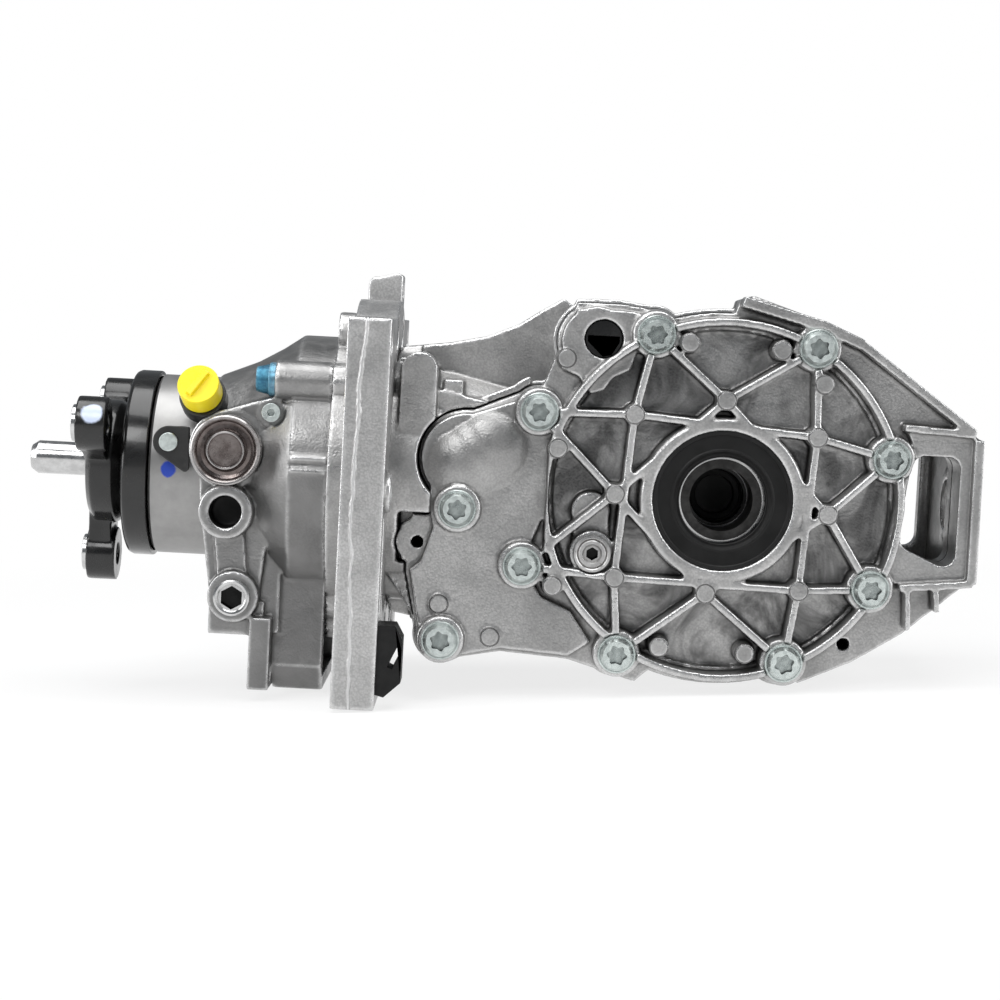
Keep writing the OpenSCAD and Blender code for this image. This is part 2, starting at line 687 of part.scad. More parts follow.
module front_nose() color(steel_c) {
    difference() {
        union() {
            turn_x([[sleeve_r + 0.6, nose_x], [nose_r - 1.2, nose_x], [nose_r, nose_x + 1.2],
                [nose_r, nose_end], [input_brg_r, nose_end], [input_brg_r, input_brg_x],
                [27, input_brg_x], [27, nose_x + 1.3 + seal_w], [30, nose_x + 1.3 + seal_w],
                [30, nose_x + 1.3], [sleeve_r + 0.6, nose_x + 1.3]]);
            at(lug_xz) rod_y(-bracket_y, -36, 6.5);
        }
        at(lug_xz) rod_y(-bracket_y - 1, -37, 2.5);
    }
}

module input_seal() color(dark_c) {
    x0 = nose_x + 1.3;
    turn_x([[30, x0], [30, x0 + seal_w], [28, x0 + seal_w], [28, x0 + 2], [22, x0 + 2],
        [sleeve_r + 0.2, x0 + 4.5], [sleeve_r + 0.2, x0 + 3], [21.5, x0]]);
}

// Arm directions of the input flange: one straight down, two raised
arm_angles = [for (k = [0 : 2]) 180 + flange_turn + 120 * k];
module arm_places() {
    for (a = arm_angles) rotate([a, 0, 0]) translate([0, 0, flange_pcr]) children();
}

module input_flange() color(dark_c) {
    difference() {
        union() {
            arm_places() rod_x(0, arm_t, arm_r);
            for (a = arm_angles) rotate([a, 0, 0]) translate([1, -arm_r + 2, 0])
                cube([arm_t - 3, 2 * arm_r - 4, flange_pcr]);
            turn_x([[0, 1], [26, 1], [30, 4], [30, arm_t], [24, shield_x], [sleeve_r, shield_x],
                [sleeve_r, input_brg_x - 0.2], [0, input_brg_x - 0.2]]);
        }
        arm_places() rod_x(-1, arm_t + 1, flange_hole_r);
        arm_places() rod_x(-1, 1.5, 9);
        rod_x(-1, 12, pilot_r + 0.33);
        rod_x(12, input_brg_x, shaft_r + 0.03);
    }
}

module flange_collars() color(steel_c) {
    arm_places() difference() {
        rod_x(-2.5, 1.5, 8.8);
        rod_x(-3, 2, flange_hole_r);
    }
}

module pilot_pin() color(steel_c) {
    turn_x([[0, -pilot_reach], [pilot_r - 2.2, -pilot_reach], [pilot_r, -pilot_reach + 3.2],
        [pilot_r, 0.5], [pilot_r + 0.3, 0.8], [pilot_r + 0.3, 12], [0, 12]]);
}

module dust_shield() color(dark_c) {
    turn_x([[sleeve_r + 0.03, shield_x], [shield_r - 3, shield_x], [shield_r - 0.8, shield_x + 1],
        [shield_r, shield_x + 3], [shield_r, shield_x + shield_w],
        [shield_r - 2.5, shield_x + shield_w], [shield_r - 3, shield_x + 5],
        [sleeve_r + 4, shield_x + 3.5], [sleeve_r + 0.03, shield_x + 3.5]]);
}

module input_shaft() color(steel_c) {
    turn_x([[0, 12.2], [shaft_r, 12.2], [shaft_r, input_brg_x + input_brg_w - 2],
        [22, input_brg_x + input_brg_w - 2], [22, drum_x], [0, drum_x]]);
}

module clutch_drum() color(steel_c) {
    turn_x([[0, drum_x], [drum_front_r, drum_x], [drum_r - 7, 84], [drum_r, flange_x],
        [drum_r, drum_end], [drum_r - 3, drum_end], [drum_r - 3, flange_x - 1],
        [drum_r - 11, 85], [drum_front_r - 4, drum_x + 4], [0, drum_x + 4]]);
}

// Clutch plates: drive plates hang in the drum, driven plates sit on the hub
plate_t = 1.6;
plate_pitch = 3.8;
plate_x = 92;
hub_drum_r = 28;
module drive_plates() color(steel_c) {
    for (k = [0 : plate_count - 1]) translate([plate_x + k * plate_pitch, 0, 0]) difference() {
        rod_x(0, plate_t, drum_r - 3.1);
        rod_x(-1, plate_t + 1, hub_drum_r + 3);
    }
}
module driven_plates() color([0.35, 0.28, 0.22]) {
    for (k = [0 : plate_count - 1])
        translate([plate_x + plate_pitch / 2 + k * plate_pitch, 0, 0]) difference() {
            rod_x(0, plate_t, drum_r - 6);
            rod_x(-1, plate_t + 1, hub_drum_r + 0.1);
        }
}

hub_end = plate_x + plate_count * plate_pitch + 1;
spline_shaft_r = 11;
module clutch_hub() color(steel_c) {
    turn_x([[spline_shaft_r + 0.03, 98], [hub_drum_r - 8, 98], [hub_drum_r - 8, 101],
        [hub_drum_r - 4, 101], [hub_drum_r - 4, plate_x - 1], [hub_drum_r, plate_x - 1],
        [hub_drum_r, hub_end], [hub_drum_r - 4, hub_end], [hub_drum_r - 4, 106],
        [spline_shaft_r + 5, 106], [spline_shaft_r + 5, hub_end + 4], [spline_shaft_r + 0.03, hub_end + 4]]);
}

module clutch_piston() color(steel_c) {
    x0 = plate_x + (plate_count - 0.5) * plate_pitch + plate_t + piston_travel + 0.1;
    turn_x([[groove_in + 0.15, x0], [groove_out - 0.15, x0],
        [groove_out - 0.15, wall_x + 12], [groove_in + 0.15, wall_x + 12]]);
}

// Ball bearing of the input shaft
input_ball_r = 4.8;
input_ball_count = 12;
input_rim_r = (shaft_r + input_brg_r) / 2;
module race(r0, r1) {
    difference() {
        turn_x([[r0, input_brg_x], [r1, input_brg_x], [r1, input_brg_x + input_brg_w - 2],
            [r0, input_brg_x + input_brg_w - 2]]);
        translate([input_brg_x + input_brg_w / 2 - 1, 0, 0]) rotate([0, 90, 0])
            rotate_extrude($fn = 96) translate([input_rim_r, 0]) circle(r = input_ball_r + run_gap);
    }
}
module input_outer_race() color(steel_c) race(input_rim_r + 2.6, input_brg_r);
module input_inner_race() color(steel_c) race(shaft_r, input_rim_r - 2.6);
module input_balls() color(steel_c) {
    for (k = [0 : input_ball_count - 1]) rotate([k * 360 / input_ball_count, 0, 0])
        translate([input_brg_x + input_brg_w / 2 - 1, 0, input_rim_r]) sphere(r = input_ball_r);
}

// Tapered roller bearing along +Z from z = 0, its apex below. All rolling
// surfaces share the apex, so they roll without sliding.
cup_angle = 14;
roller_share = 0.45;
function apex_z(r_in, r_out) = (r_mid(r_in, r_out) + roller_rad(r_in, r_out)) / tan(cup_angle);
function r_mid(r_in, r_out) = (r_in + r_out) / 2;
function roller_rad(r_in, r_out) = (r_out - r_in) / 2 * roller_share;
function cone_angle(r_in, r_out) =
    atan((r_mid(r_in, r_out) - roller_rad(r_in, r_out)) / apex_z(r_in, r_out));
function race_r(z, angle, r_in, r_out, w) = (apex_z(r_in, r_out) + z - w / 2) * tan(angle);

module roller_cup(r_in, r_out, w) {
    rotate_extrude($fn = 96) polygon([[r_out, 0], [r_out, w],
        [race_r(w, cup_angle, r_in, r_out, w) + run_gap, w],
        [race_r(0, cup_angle, r_in, r_out, w) + run_gap, 0]]);
}
module roller_cone(r_in, r_out, w) {
    a = cone_angle(r_in, r_out);
    rotate_extrude($fn = 96) polygon([[r_in, 0], [race_r(0, a, r_in, r_out, w) - run_gap, 0],
        [race_r(w, a, r_in, r_out, w) - run_gap, w], [r_in, w]]);
}
module rollers(r_in, r_out, w) {
    a = cone_angle(r_in, r_out);
    tilt = (a + cup_angle) / 2;
    half = (cup_angle - a) / 2;
    z0 = apex_z(r_in, r_out) - w / 2;
    count = floor(2 * PI * r_mid(r_in, r_out) / (2.45 * roller_rad(r_in, r_out)));
    for (k = [0 : count - 1]) rotate([0, 0, k * 360 / count]) translate([0, 0, -z0])
        rotate([0, tilt, 0]) translate([0, 0, (z0 + 2) / cos(tilt)])
            cylinder(r1 = (z0 + 2) / cos(tilt) * tan(half), r2 = (z0 + w - 2) / cos(tilt) * tan(half),
                h = (w - 4) / cos(tilt), $fn = 24);
}

// Side bearings: big ends of the rollers face the gears
module near_brg() {
    translate([axle_x, -side_brg_y, 0]) rotate([-90, 0, 0]) children();
}
module far_brg() {
    translate([axle_x, far_brg_y + side_brg_w, 0]) rotate([90, 0, 0]) children();
}
module side_cup_near() color(steel_c) near_brg() roller_cup(journal_r, side_cup_r, side_brg_w);
module side_cup_far() color(steel_c) far_brg() roller_cup(journal_r, side_cup_r, side_brg_w);
module side_cone_near() color(steel_c) near_brg() roller_cone(journal_r, side_cup_r, side_brg_w);
module side_cone_far() color(steel_c) far_brg() roller_cone(journal_r, side_cup_r, side_brg_w);
module side_rollers_near() color(steel_c) near_brg() rollers(journal_r, side_cup_r, side_brg_w);
module side_rollers_far() color(steel_c) far_brg() rollers(journal_r, side_cup_r, side_brg_w);

// Pinion bearings, mounted back to back
tail_shaft_r = 15;
module head_brg() {
    translate([head_x, 0, 0]) rotate([0, 90, 0]) children();
}
module tail_brg() {
    translate([tail_x + tail_w, 0, 0]) rotate([0, -90, 0]) children();
}
module pinion_head_cup() color(steel_c) head_brg() roller_cup(pinion_shaft_r, pinion_cup_r, head_w);
module pinion_head_cone() color(steel_c) head_brg() roller_cone(pinion_shaft_r, pinion_cup_r, head_w);
module pinion_head_rollers() color(steel_c) head_brg() rollers(pinion_shaft_r, pinion_cup_r, head_w);
module pinion_tail_cup() color(steel_c) tail_brg() roller_cup(tail_shaft_r, tail_cup_r, tail_w);
module pinion_tail_cone() color(steel_c) tail_brg() roller_cone(tail_shaft_r, tail_cup_r, tail_w);
module pinion_tail_rollers() color(steel_c) tail_brg() rollers(tail_shaft_r, tail_cup_r, tail_w);

nut_w = 8;
module pinion_nut() color(steel_c) {
    difference() {
        translate([tail_x - nut_w, 0, 0]) rotate([0, 90, 0]) cylinder(r = 21, h = nut_w, $fn = 6);
        rod_x(tail_x - nut_w - 1, tail_x + 1, tail_shaft_r - 0.95);
    }
}

// Spiral bevel pair
pinion_z_out = gear_cone * cos(pinion_cone);
pinion_z_in = pinion_z_out * (1 - gear_face / gear_cone);
module drive_pinion() color(steel_c) {
    rv = pinion_pitch_r / cos(pinion_cone);
    thick = PI * gear_module / 2 + 2 * gear_shift * gear_module * tan(20) - backlash / 2;
    points = tooth(flank(rv, pinion_cone, thick, pinion_add * gear_module,
        (ring_add + tooth_clear) * gear_module, 4));
    translate([axle_x, 0, 0]) rotate([0, -90, 0])
        flat_gear(pinion_teeth, points, pinion_cone, gear_cone, tan(spiral) / sin(pinion_cone),
            180 / pinion_teeth + 90, pinion_z_in, pinion_z_out, 7);
    turn_x([[0, plate_x - 2], [spline_shaft_r, plate_x - 2], [spline_shaft_r, tail_x - nut_w - 1],
        [tail_shaft_r - 1, tail_x - nut_w - 1], [tail_shaft_r - 1, tail_x], [tail_shaft_r, tail_x],
        [tail_shaft_r, tail_x + tail_w], [tail_shaft_r + 1, tail_x + tail_w],
        [tail_shaft_r + 1, head_x], [pinion_shaft_r, head_x], [pinion_shaft_r, head_x + head_w],
        [20, head_x + head_w], [20, axle_x - pinion_z_out + 0.5], [0, axle_x - pinion_z_out + 0.5]]);
}

ring_back_y = 36;
ring_bore = 41;
ring_bolt_r = 5;
ring_bolt_pcr = 55;
ring_bolt_count = 10;
module ring_gear() color(steel_c) {
    rv = ring_pitch_r / cos(ring_cone);
    thick = PI * gear_module / 2 - 2 * gear_shift * gear_module * tan(20) - backlash / 2;
    points = tooth(flank(rv, ring_cone, thick, ring_add * gear_module,
        (pinion_add + tooth_clear) * gear_module, 2));
    difference() {
        translate([axle_x, 0, 0]) rotate([90, 0, 0])
            crown_gear(ring_teeth, points, ring_cone, gear_cone, -tan(spiral) / sin(ring_cone),
                180, ring_pitch_r - gear_face * sin(ring_cone), ring_pitch_r, ring_bore,
                ring_back_y, 6);
        ring_bolt_places() rod_y(-ring_back_y - 1, -ring_back_y + 7, ring_bolt_r + bolt_gap);
    }
}

module ring_bolt_places() {
    for (k = [0 : ring_bolt_count - 1])
        translate([axle_x, 0, 0]) rotate([0, (k + 0.5) * 360 / ring_bolt_count, 0])
        translate([ring_bolt_pcr, 0, 0]) children();
}

flange_back_y = side_brg_y - side_brg_w;
module ring_bolts() color(zinc_c) {
    ring_bolt_places() {
        rod_y(-flange_back_y - 3, -flange_back_y, 7.5);
        rod_y(-flange_back_y, -ring_back_y + 6, ring_bolt_r);
    }
}

diff_cavity_r = 32.5;
case_r = 38;
side_hub_y = 22;
side_hub_r = 17;
cross_r = 8;
module diff_case() color([0.45, 0.45, 0.46]) {
    difference() {
        turn_y([[0, -side_brg_y + 0.5], [journal_r, -side_brg_y + 0.5], [journal_r, -flange_back_y],
            [64, -flange_back_y], [64, -ring_back_y], [ring_bore, -ring_back_y], [ring_bore, -29],
            [case_r, -28], [case_r, far_brg_y - 5], [case_r - 8, far_brg_y], [journal_r, far_brg_y],
            [journal_r, far_brg_y + side_brg_w - 0.5], [0, far_brg_y + side_brg_w - 0.5]]);
        translate([axle_x, 0, 0]) sphere(r = diff_cavity_r, $fn = 96);
        turn_y([[0, -80], [spline_r + 1.8, -80], [spline_r + 1.8, 80], [0, 80]]);
        turn_y([[0, -30.2], [side_hub_r + run_gap, -30.2], [side_hub_r + run_gap, 30.2], [0, 30.2]]);
        translate([axle_x - 50, 0, 0]) rod_x(0, 100, 21);
        translate([axle_x, 0, -50]) cylinder(r = cross_r + run_gap, h = 100);
        ring_bolt_places() rod_y(-flange_back_y - 1, -ring_back_y + 1, ring_bolt_r + bolt_gap);
    }
}

module cross_pin() color(steel_c) {
    translate([axle_x, 0, -case_r + 0.5]) cylinder(r = cross_r, h = 2 * case_r - 1);
}

// Straight bevel gears inside the differential
side_cone = atan(side_teeth / spider_teeth);
spider_cone = 90 - side_cone;
diff_module = 2 * diff_cone * sin(side_cone) / side_teeth;
diff_backlash = 0.6;
side_r_out = diff_cone * sin(side_cone);
module side_gear_body() {
    rv = side_r_out / cos(side_cone);
    points = tooth(flank(rv, side_cone, PI * diff_module / 2 - diff_backlash / 2,
        0.8 * diff_module, 1.05 * diff_module, 3));
    difference() {
        union() {
            crown_gear(side_teeth, points, side_cone, diff_cone, 0, 0, side_r_out * 0.66,
                side_r_out, spline_r - 0.4, side_hub_y, 2);
            translate([0, 0, side_hub_y - 1]) cylinder(r = side_hub_r, h = 9);
            translate([0, 0, 11.5]) cylinder(r = side_r_out * 0.66 - 0.6, h = side_hub_y - 11.5);
        }
        cylinder(r = spline_r, h = 60);
    }
}
module side_gear_near() color(steel_c) {
    translate([axle_x, 0, 0]) rotate([90, 0, 0]) side_gear_body();
}
module side_gear_far() color(steel_c) {
    translate([axle_x, 0, 0]) rotate([-90, 0, 0]) side_gear_body();
}
module spider_gear_body() {
    rv = diff_cone * sin(spider_cone) / cos(spider_cone);
    z_out = diff_cone * cos(spider_cone);
    points = tooth(flank(rv, spider_cone, PI * diff_module / 2 - diff_backlash / 2,
        0.8 * diff_module, 1.05 * diff_module, 3));
    difference() {
        union() {
            flat_gear(spider_teeth, points, spider_cone, diff_cone, 0, 0,
                z_out * 0.66, z_out, 2);
            translate([0, 0, z_out - 1]) cylinder(r = 12.5, h = 6.5);
        }
        cylinder(r = cross_r + 0.06, h = 60);
    }
}
module spider_gear_upper() color(steel_c) {
    translate([axle_x, 0, 0]) rotate([0, 0, 90]) spider_gear_body();
}
module spider_gear_lower() color(steel_c) {
    translate([axle_x, 0, 0]) rotate([180, 0, 90]) spider_gear_body();
}

module output_seal() {
    turn_y([[seal_r, -rib_top_y + 0.5], [seal_r, -rib_top_y + 0.5 + seal_w],
        [seal_r - 2, -rib_top_y + 0.5 + seal_w], [seal_r - 2, -rib_top_y + 3.5],
        [seal_lip_r + 2, -rib_top_y + 3.5], [seal_lip_r, -rib_top_y + 6],
        [seal_lip_r, -rib_top_y + 4], [seal_lip_r + 1, -rib_top_y + 1.5],
        [seal_lip_r + 3, -rib_top_y + 1.5], [seal_r - 3, -rib_top_y + 1.2],
        [seal_r - 2, -rib_top_y + 0.5]]);
}
module output_seal_near() color(dark_c) output_seal();
module output_seal_far() color(dark_c) {
    translate([0, far_hub_y - rib_top_y, 0]) mirror([0, 1, 0]) output_seal();
}

// Flanged screw along +Y with its head toward -Y, seated at y = 0
module flange_screw(flange_r, r, head_h, len) {
    difference() {
        union() {
            rod_y(-2.6, 0, flange_r);
            translate([0, -head_h, 0]) rotate([-90, 0, 0])
                cylinder(r1 = flange_r - 3, r2 = flange_r - 0.7, h = head_h - 2.6, $fn = 96);
            rod_y(0, len, r);
        }
        for (a = [0, 30]) rotate([0, a, 0]) rod_y(-head_h - 1, -head_h + 3.4, r * 1.12, 6);
    }
}

module cover_bolts() color(zinc_c) {
    for (p = cover_bolt_xz) at(p) translate([0, -boss_y, 0])
        flange_screw(bolt_flange_r, bolt_r, bolt_head_h, boss_y - 24);
}

module coupling_bolts() color([0.16, 0.42, 0.62]) {
    coupling_bolt_places() translate([bolt_seat_x, 0, 0]) rotate([0, 0, -90])
        flange_screw(8, coupling_bolt_r, 9, 32);
}

module frame_bolts() color(zinc_c) {
    frame_bolt_places() translate([frame_bolt_seat, 0, 0])
        rotate([0, 0, 90]) flange_screw(8.6, frame_bolt_r, 7.5, frame_bolt_seat - frame_x + 7);
}

module frame_shape() {
    difference() {
        union() {
            circle(r = frame_ring_r, $fn = 128);
            for (s = [-1, 1]) translate([s * (frame_half - 12) - 12, -frame_low])
                square([24, frame_low + frame_top]);
            translate([-frame_half + 5, frame_top - 22]) square([2 * frame_half - 10, 22]);
            translate([-frame_half + 5, -frame_low]) square([2 * frame_half - 10, 20]);
        }
        circle(r = neck_r + 0.2, $fn = 128);
        for (s = [-1, 1]) polygon([[s * 46, -68], [s * 70, -44], [s * 70, -84], [s * 46, -84]]);
    }
}

module mounting_frame() color(cast_c) {
    difference() {
        union() {
            translate([frame_x + 4, 0, 0]) plate_x(frame_t - 8) frame_shape();
            for (x = [frame_x, frame_x + frame_t - 4]) translate([x, 0, 0])
                plate_x(4) difference() {
                    frame_shape();
                    for (s = [-1, 1]) translate([s * (frame_half - 14), -40]) square([12, 50], center = true);
                }
            for (s = [-1, 1]) translate([frame_x + frame_t - 1, s * (frame_half - 11), -3]) rod_x(0, 4, 9);
            // lifting lug on the far side
            translate([frame_x, 0, frame_top]) slab(22, 44) polygon([[4, -6], [2, 6], [2, 18], [4.2, 20.6],
                [8, 20.8], [frame_t - 4.5, 23], [frame_t - 1, 22], [frame_t - 1, -6]]);
        }
        for (s = [-1, 1], z = [frame_top - 12, -frame_low + 14])
            translate([frame_x - 1, s * (frame_half - 13), z]) rod_x(0, frame_t + 2, frame_hole_r);
        frame_bolt_places() rod_x(frame_x - 1, frame_x + frame_t + 1, frame_bolt_r + bolt_gap);
        frame_bolt_places() rod_x(frame_bolt_seat, frame_x + frame_t + 1, 9.2);
        translate([frame_x, 33, frame_top + 12]) rod_x(0, frame_t + 2, 5);
        for (s = [-1, 1]) translate([frame_x + frame_t - 4, s * (frame_half - 11), -3]) rod_x(0, 10, 5);
    }
}

// Extrudes a shape drawn in Y and Z along X
module plate_x(t) {
    rotate([90, 0, 90]) linear_extrude(t) children();
}

module frame_damper() color(dark_c) {
    translate([frame_x + frame_t, 0, -frame_low]) difference() {
        slab(-frame_half + 4, -frame_half + 22)
            polygon([[0, 7], [4, 6], [11.5, 13], [11.5, 33], [8, 39], [0, 39]]);
        translate([5, -frame_half + 3, 20]) rotate([0, 25, 0]) cube([2.5, 20, 10]);
    }
}

module fill_plug() color(zinc_c) {
    at(fill_xz) difference() {
        union() {
            rod_y(-fill_seat_y - 4, -fill_seat_y, fill_flange_r);
            rod_y(-fill_seat_y, -pocket_y + 4.4, 6.3);
        }
        rod_y(-fill_seat_y - 5, -fill_seat_y + 3, 2.8, 6);
    }
}

module vent_plug() color(dark_c) {
    at(vent_xz) difference() {
        rod_y(-plate_y + 3, -split_y - 2, 8.8);
        translate([-7, -plate_y + 2, -1]) cube([14, 3, 2]);
    }
}

module pump_plug() color(steel_c) {
    at(pump_plug_xz) difference() {
        union() {
            rod_y(-plug_face_y - 4, -plug_face_y, 8.7);
            rod_y(-plug_face_y, -plug_face_y + 12, 5.8);
        }
        rod_y(-plug_face_y - 5, -plug_face_y + 4, 5.2, 6);
    }
}

module pump_motor() color([0.42, 0.40, 0.38]) {
    at(motor_xz) difference() {
        union() {
            rod_y(-motor_face_y - motor_len + 2, -motor_face_y, motor_r);
            rod_y(-motor_face_y - motor_len, -motor_face_y - motor_len + 2, 8.8);
            difference() {
                rod_y(-motor_face_y - motor_len + 0.6, -motor_face_y - motor_len + 2, motor_r);
                rod_y(-motor_face_y - motor_len, -motor_face_y - motor_len + 2, motor_r - 2.4);
            }
        }
        rod_y(-motor_face_y - 4, -motor_face_y + 1, 3.1);
    }
}

module pump_rotor() color(steel_c) {
    at(motor_xz) {
        difference() {
            rod_y(-motor_face_y + 0.2, -motor_face_y + rotor_w, rotor_r);
            for (a = [0 : 72 : 288]) rotate([0, a, 0]) translate([rotor_r, 0, 0])
                rod_y(-motor_face_y - 1, -motor_face_y + rotor_w + 1, 1.8);
        }
        rod_y(-motor_face_y - 3.6, -motor_face_y + 0.2, 3);
    }
}

module motor_screw() color(steel_c) {
    at(motor_ear_xz) translate([0, -motor_face_y, 0]) difference() {
        union() {
            rod_y(-3, 0, 4.4);
            rod_y(0, 4.6, 2.4);
        }
        rod_y(-4, -1, 1.9, 6);
    }
}

// Pump connector with its cap, and the bracket that holds it on the nose
module connector_pose() {
    translate([cap_xz[0], -46, cap_xz[1]]) rotate([-28, 0, -6]) children();
}
module connector_cap() color([0.93, 0.75, 0.05]) {
    connector_pose() {
        rod_y(-16, -5, 9.8);
        rotate([0, 30, 0]) translate([-1.6, -18, -7]) cube([3.2, 3, 14]);
    }
}
module connector_socket() color(dark_c) {
    connector_pose() difference() {
        rod_y(-4.6, 4, 11);
        rod_y(-6, -3, 8);
    }
}
module motor_bracket() color(dark_c) {
    difference() {
        union() {
            at(lug_xz) rod_y(-bracket_y - 3.6, -bracket_y, 7.5);
            slab(-bracket_y - 3.6, -bracket_y) polygon([[44, 19], [53.4, 20.5], [53.4, 3], [42.5, 7.5]]);
        }
        at(lug_xz) rod_y(-bracket_y - 5, -bracket_y + 1, 2.6);
    }
}
module bracket_screw() color(steel_c) {
    at(lug_xz) {
        rod_y(-bracket_y - 5.4, -bracket_y - 3.6, 4.4);
        rod_y(-bracket_y - 3.6, -bracket_y + 8, 2.3);
    }
}

module dowel_pins() color(steel_c) {
    for (p = dowel_xz) at(p) rod_y(-split_y - 8, -split_y + 8, dowel_r);
}

main_case();
side_cover();
cover_sealant();
coupling_case();
front_nose();
mounting_frame();
cover_bolts();
coupling_bolts();
frame_bolts();
fill_plug();
vent_plug();
pump_plug();
output_seal_near();
output_seal_far();
side_cup_near();
side_cup_far();
pinion_head_cup();
pinion_tail_cup();
input_seal();
input_outer_race();
pump_motor();
motor_screw();
connector_cap();
connector_socket();
motor_bracket();
bracket_screw();
frame_damper();
dowel_pins();
input_flange();
flange_collars();
pilot_pin();
dust_shield();
input_shaft();
input_inner_race();
clutch_drum();
drive_plates();
input_balls();
clutch_piston();
pump_rotor();
drive_pinion();
clutch_hub();
driven_plates();
pinion_head_cone();
pinion_tail_cone();
pinion_nut();
pinion_head_rollers();
pinion_tail_rollers();
side_rollers_near();
side_rollers_far();
ring_gear();
ring_bolts();
diff_case();
cross_pin();
side_cone_near();
side_cone_far();
side_gear_near();
side_gear_far();
spider_gear_upper();
spider_gear_lower();
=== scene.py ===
import math

import bmesh
import bpy
import numpy as np
from mathutils import Matrix, Vector


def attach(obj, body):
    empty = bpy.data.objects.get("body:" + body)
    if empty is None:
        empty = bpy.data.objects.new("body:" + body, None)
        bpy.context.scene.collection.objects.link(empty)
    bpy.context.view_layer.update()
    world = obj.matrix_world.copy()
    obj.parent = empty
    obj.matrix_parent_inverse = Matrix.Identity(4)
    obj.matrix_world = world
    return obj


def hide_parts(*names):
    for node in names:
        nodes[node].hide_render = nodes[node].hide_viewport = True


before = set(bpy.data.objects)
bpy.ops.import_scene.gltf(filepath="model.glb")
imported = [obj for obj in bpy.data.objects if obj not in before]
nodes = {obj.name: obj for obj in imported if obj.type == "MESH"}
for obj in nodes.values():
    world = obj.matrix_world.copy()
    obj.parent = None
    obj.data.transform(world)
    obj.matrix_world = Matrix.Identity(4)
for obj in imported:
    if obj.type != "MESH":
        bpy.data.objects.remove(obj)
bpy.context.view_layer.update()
scene = bpy.context.scene
print("frame loaded:", len(nodes), "nodes")

outputAxle = (0.3035, 0.0)  # x and z of the output axis
weldDistance = 2e-6


# Shader building


class Tree:
    def __init__(self, tree):
        self.tree = tree
        self.links = tree.links

    def node(self, kind, **values):
        made = self.tree.nodes.new(kind)
        for key, value in values.items():
            setattr(made, key, value)
        return made

    def feed(self, socket, value):
        if isinstance(value, bpy.types.NodeSocket):
            self.links.new(value, socket)
        elif value is not None:
            socket.default_value = value

    def math(self, operation, first, second=None, clamp=False):
        made = self.node("ShaderNodeMath", operation=operation, use_clamp=clamp)
        self.feed(made.inputs[0], first)
        self.feed(made.inputs[1], second)
        return made.outputs[0]

    def times(self, first, second):
        return self.math("MULTIPLY", first, second)

    def plus(self, first, second):
        return self.math("ADD", first, second)

    def noise(self, vector, scale, detail=3.0, roughness=0.55, distortion=0.0):
        made = self.node("ShaderNodeTexNoise")
        self.feed(made.inputs["Vector"], vector)
        self.feed(made.inputs["Scale"], scale)
        self.feed(made.inputs["Detail"], detail)
        self.feed(made.inputs["Roughness"], roughness)
        self.feed(made.inputs["Distortion"], distortion)
        return made.outputs[0]

    def cells(self, vector, scale, randomness=1.0):
        made = self.node("ShaderNodeTexVoronoi")
        self.feed(made.inputs["Vector"], vector)
        self.feed(made.inputs["Scale"], scale)
        self.feed(made.inputs["Randomness"], randomness)
        return made.outputs["Distance"]

    def between(self, value, low, high, newLow=0.0, newHigh=1.0):
        made = self.node("ShaderNodeMapRange", interpolation_type="SMOOTHSTEP")
        self.feed(made.inputs["Value"], value)
        ends = {"From Min": low, "From Max": high, "To Min": newLow, "To Max": newHigh}
        for name, number in ends.items():
            self.feed(made.inputs[name], number)
        return made.outputs["Result"]

    def blend(self, factor, first, second):
        made = self.node("ShaderNodeMix", data_type="RGBA")
        self.feed(made.inputs["Factor"], factor)
        self.feed(made.inputs["A"], first)
        self.feed(made.inputs["B"], second)
        return made.outputs["Result"]

    def placed(self, location=(0, 0, 0)):
        coordinates = self.node("ShaderNodeTexCoord")
        mapping = self.node("ShaderNodeMapping")
        mapping.inputs["Location"].default_value = location
        self.links.new(coordinates.outputs["Object"], mapping.inputs["Vector"])
        return mapping.outputs["Vector"]

    def reach(self, parts, centres):
        # distance in x and z to the nearest of some centres
        flat = self.node("ShaderNodeCombineXYZ")
        self.feed(flat.inputs["X"], parts.outputs["X"])
        self.feed(flat.inputs["Z"], parts.outputs["Z"])
        nearest = 1.0
        for x, z in centres:
            distance = self.node("ShaderNodeVectorMath", operation="DISTANCE")
            self.feed(distance.inputs[0], flat.outputs[0])
            distance.inputs[1].default_value = (x, 0.0, z)
            nearest = self.math("MINIMUM", distance.outputs["Value"], nearest)
        return nearest

    def ring(self, reach, radius, width=0.0005):
        off = self.math("ABSOLUTE", self.math("SUBTRACT", reach, radius))
        return self.between(off, width * 0.4, width, 1.0, 0.0)

    def near(self, vector, centre, radius, soft=0.25):
        # 1 inside a ball round centre, with a ragged rim
        reach = self.node("ShaderNodeVectorMath", operation="DISTANCE")
        self.feed(reach.inputs[0], vector)
        reach.inputs[1].default_value = centre
        ragged = self.times(self.noise(vector, 0.9 / radius, 3.0, 0.6), radius * soft * 2)
        wobble = self.math("SUBTRACT", ragged, radius * soft)
        distance = self.plus(reach.outputs["Value"], wobble)
        return self.between(distance, radius * (1 - soft), radius, 1.0, 0.0)

    def group(self, tree, **values):
        made = self.node("ShaderNodeGroup", node_tree=tree)
        for name, value in values.items():
            self.feed(made.inputs[name], value)
        return made.outputs


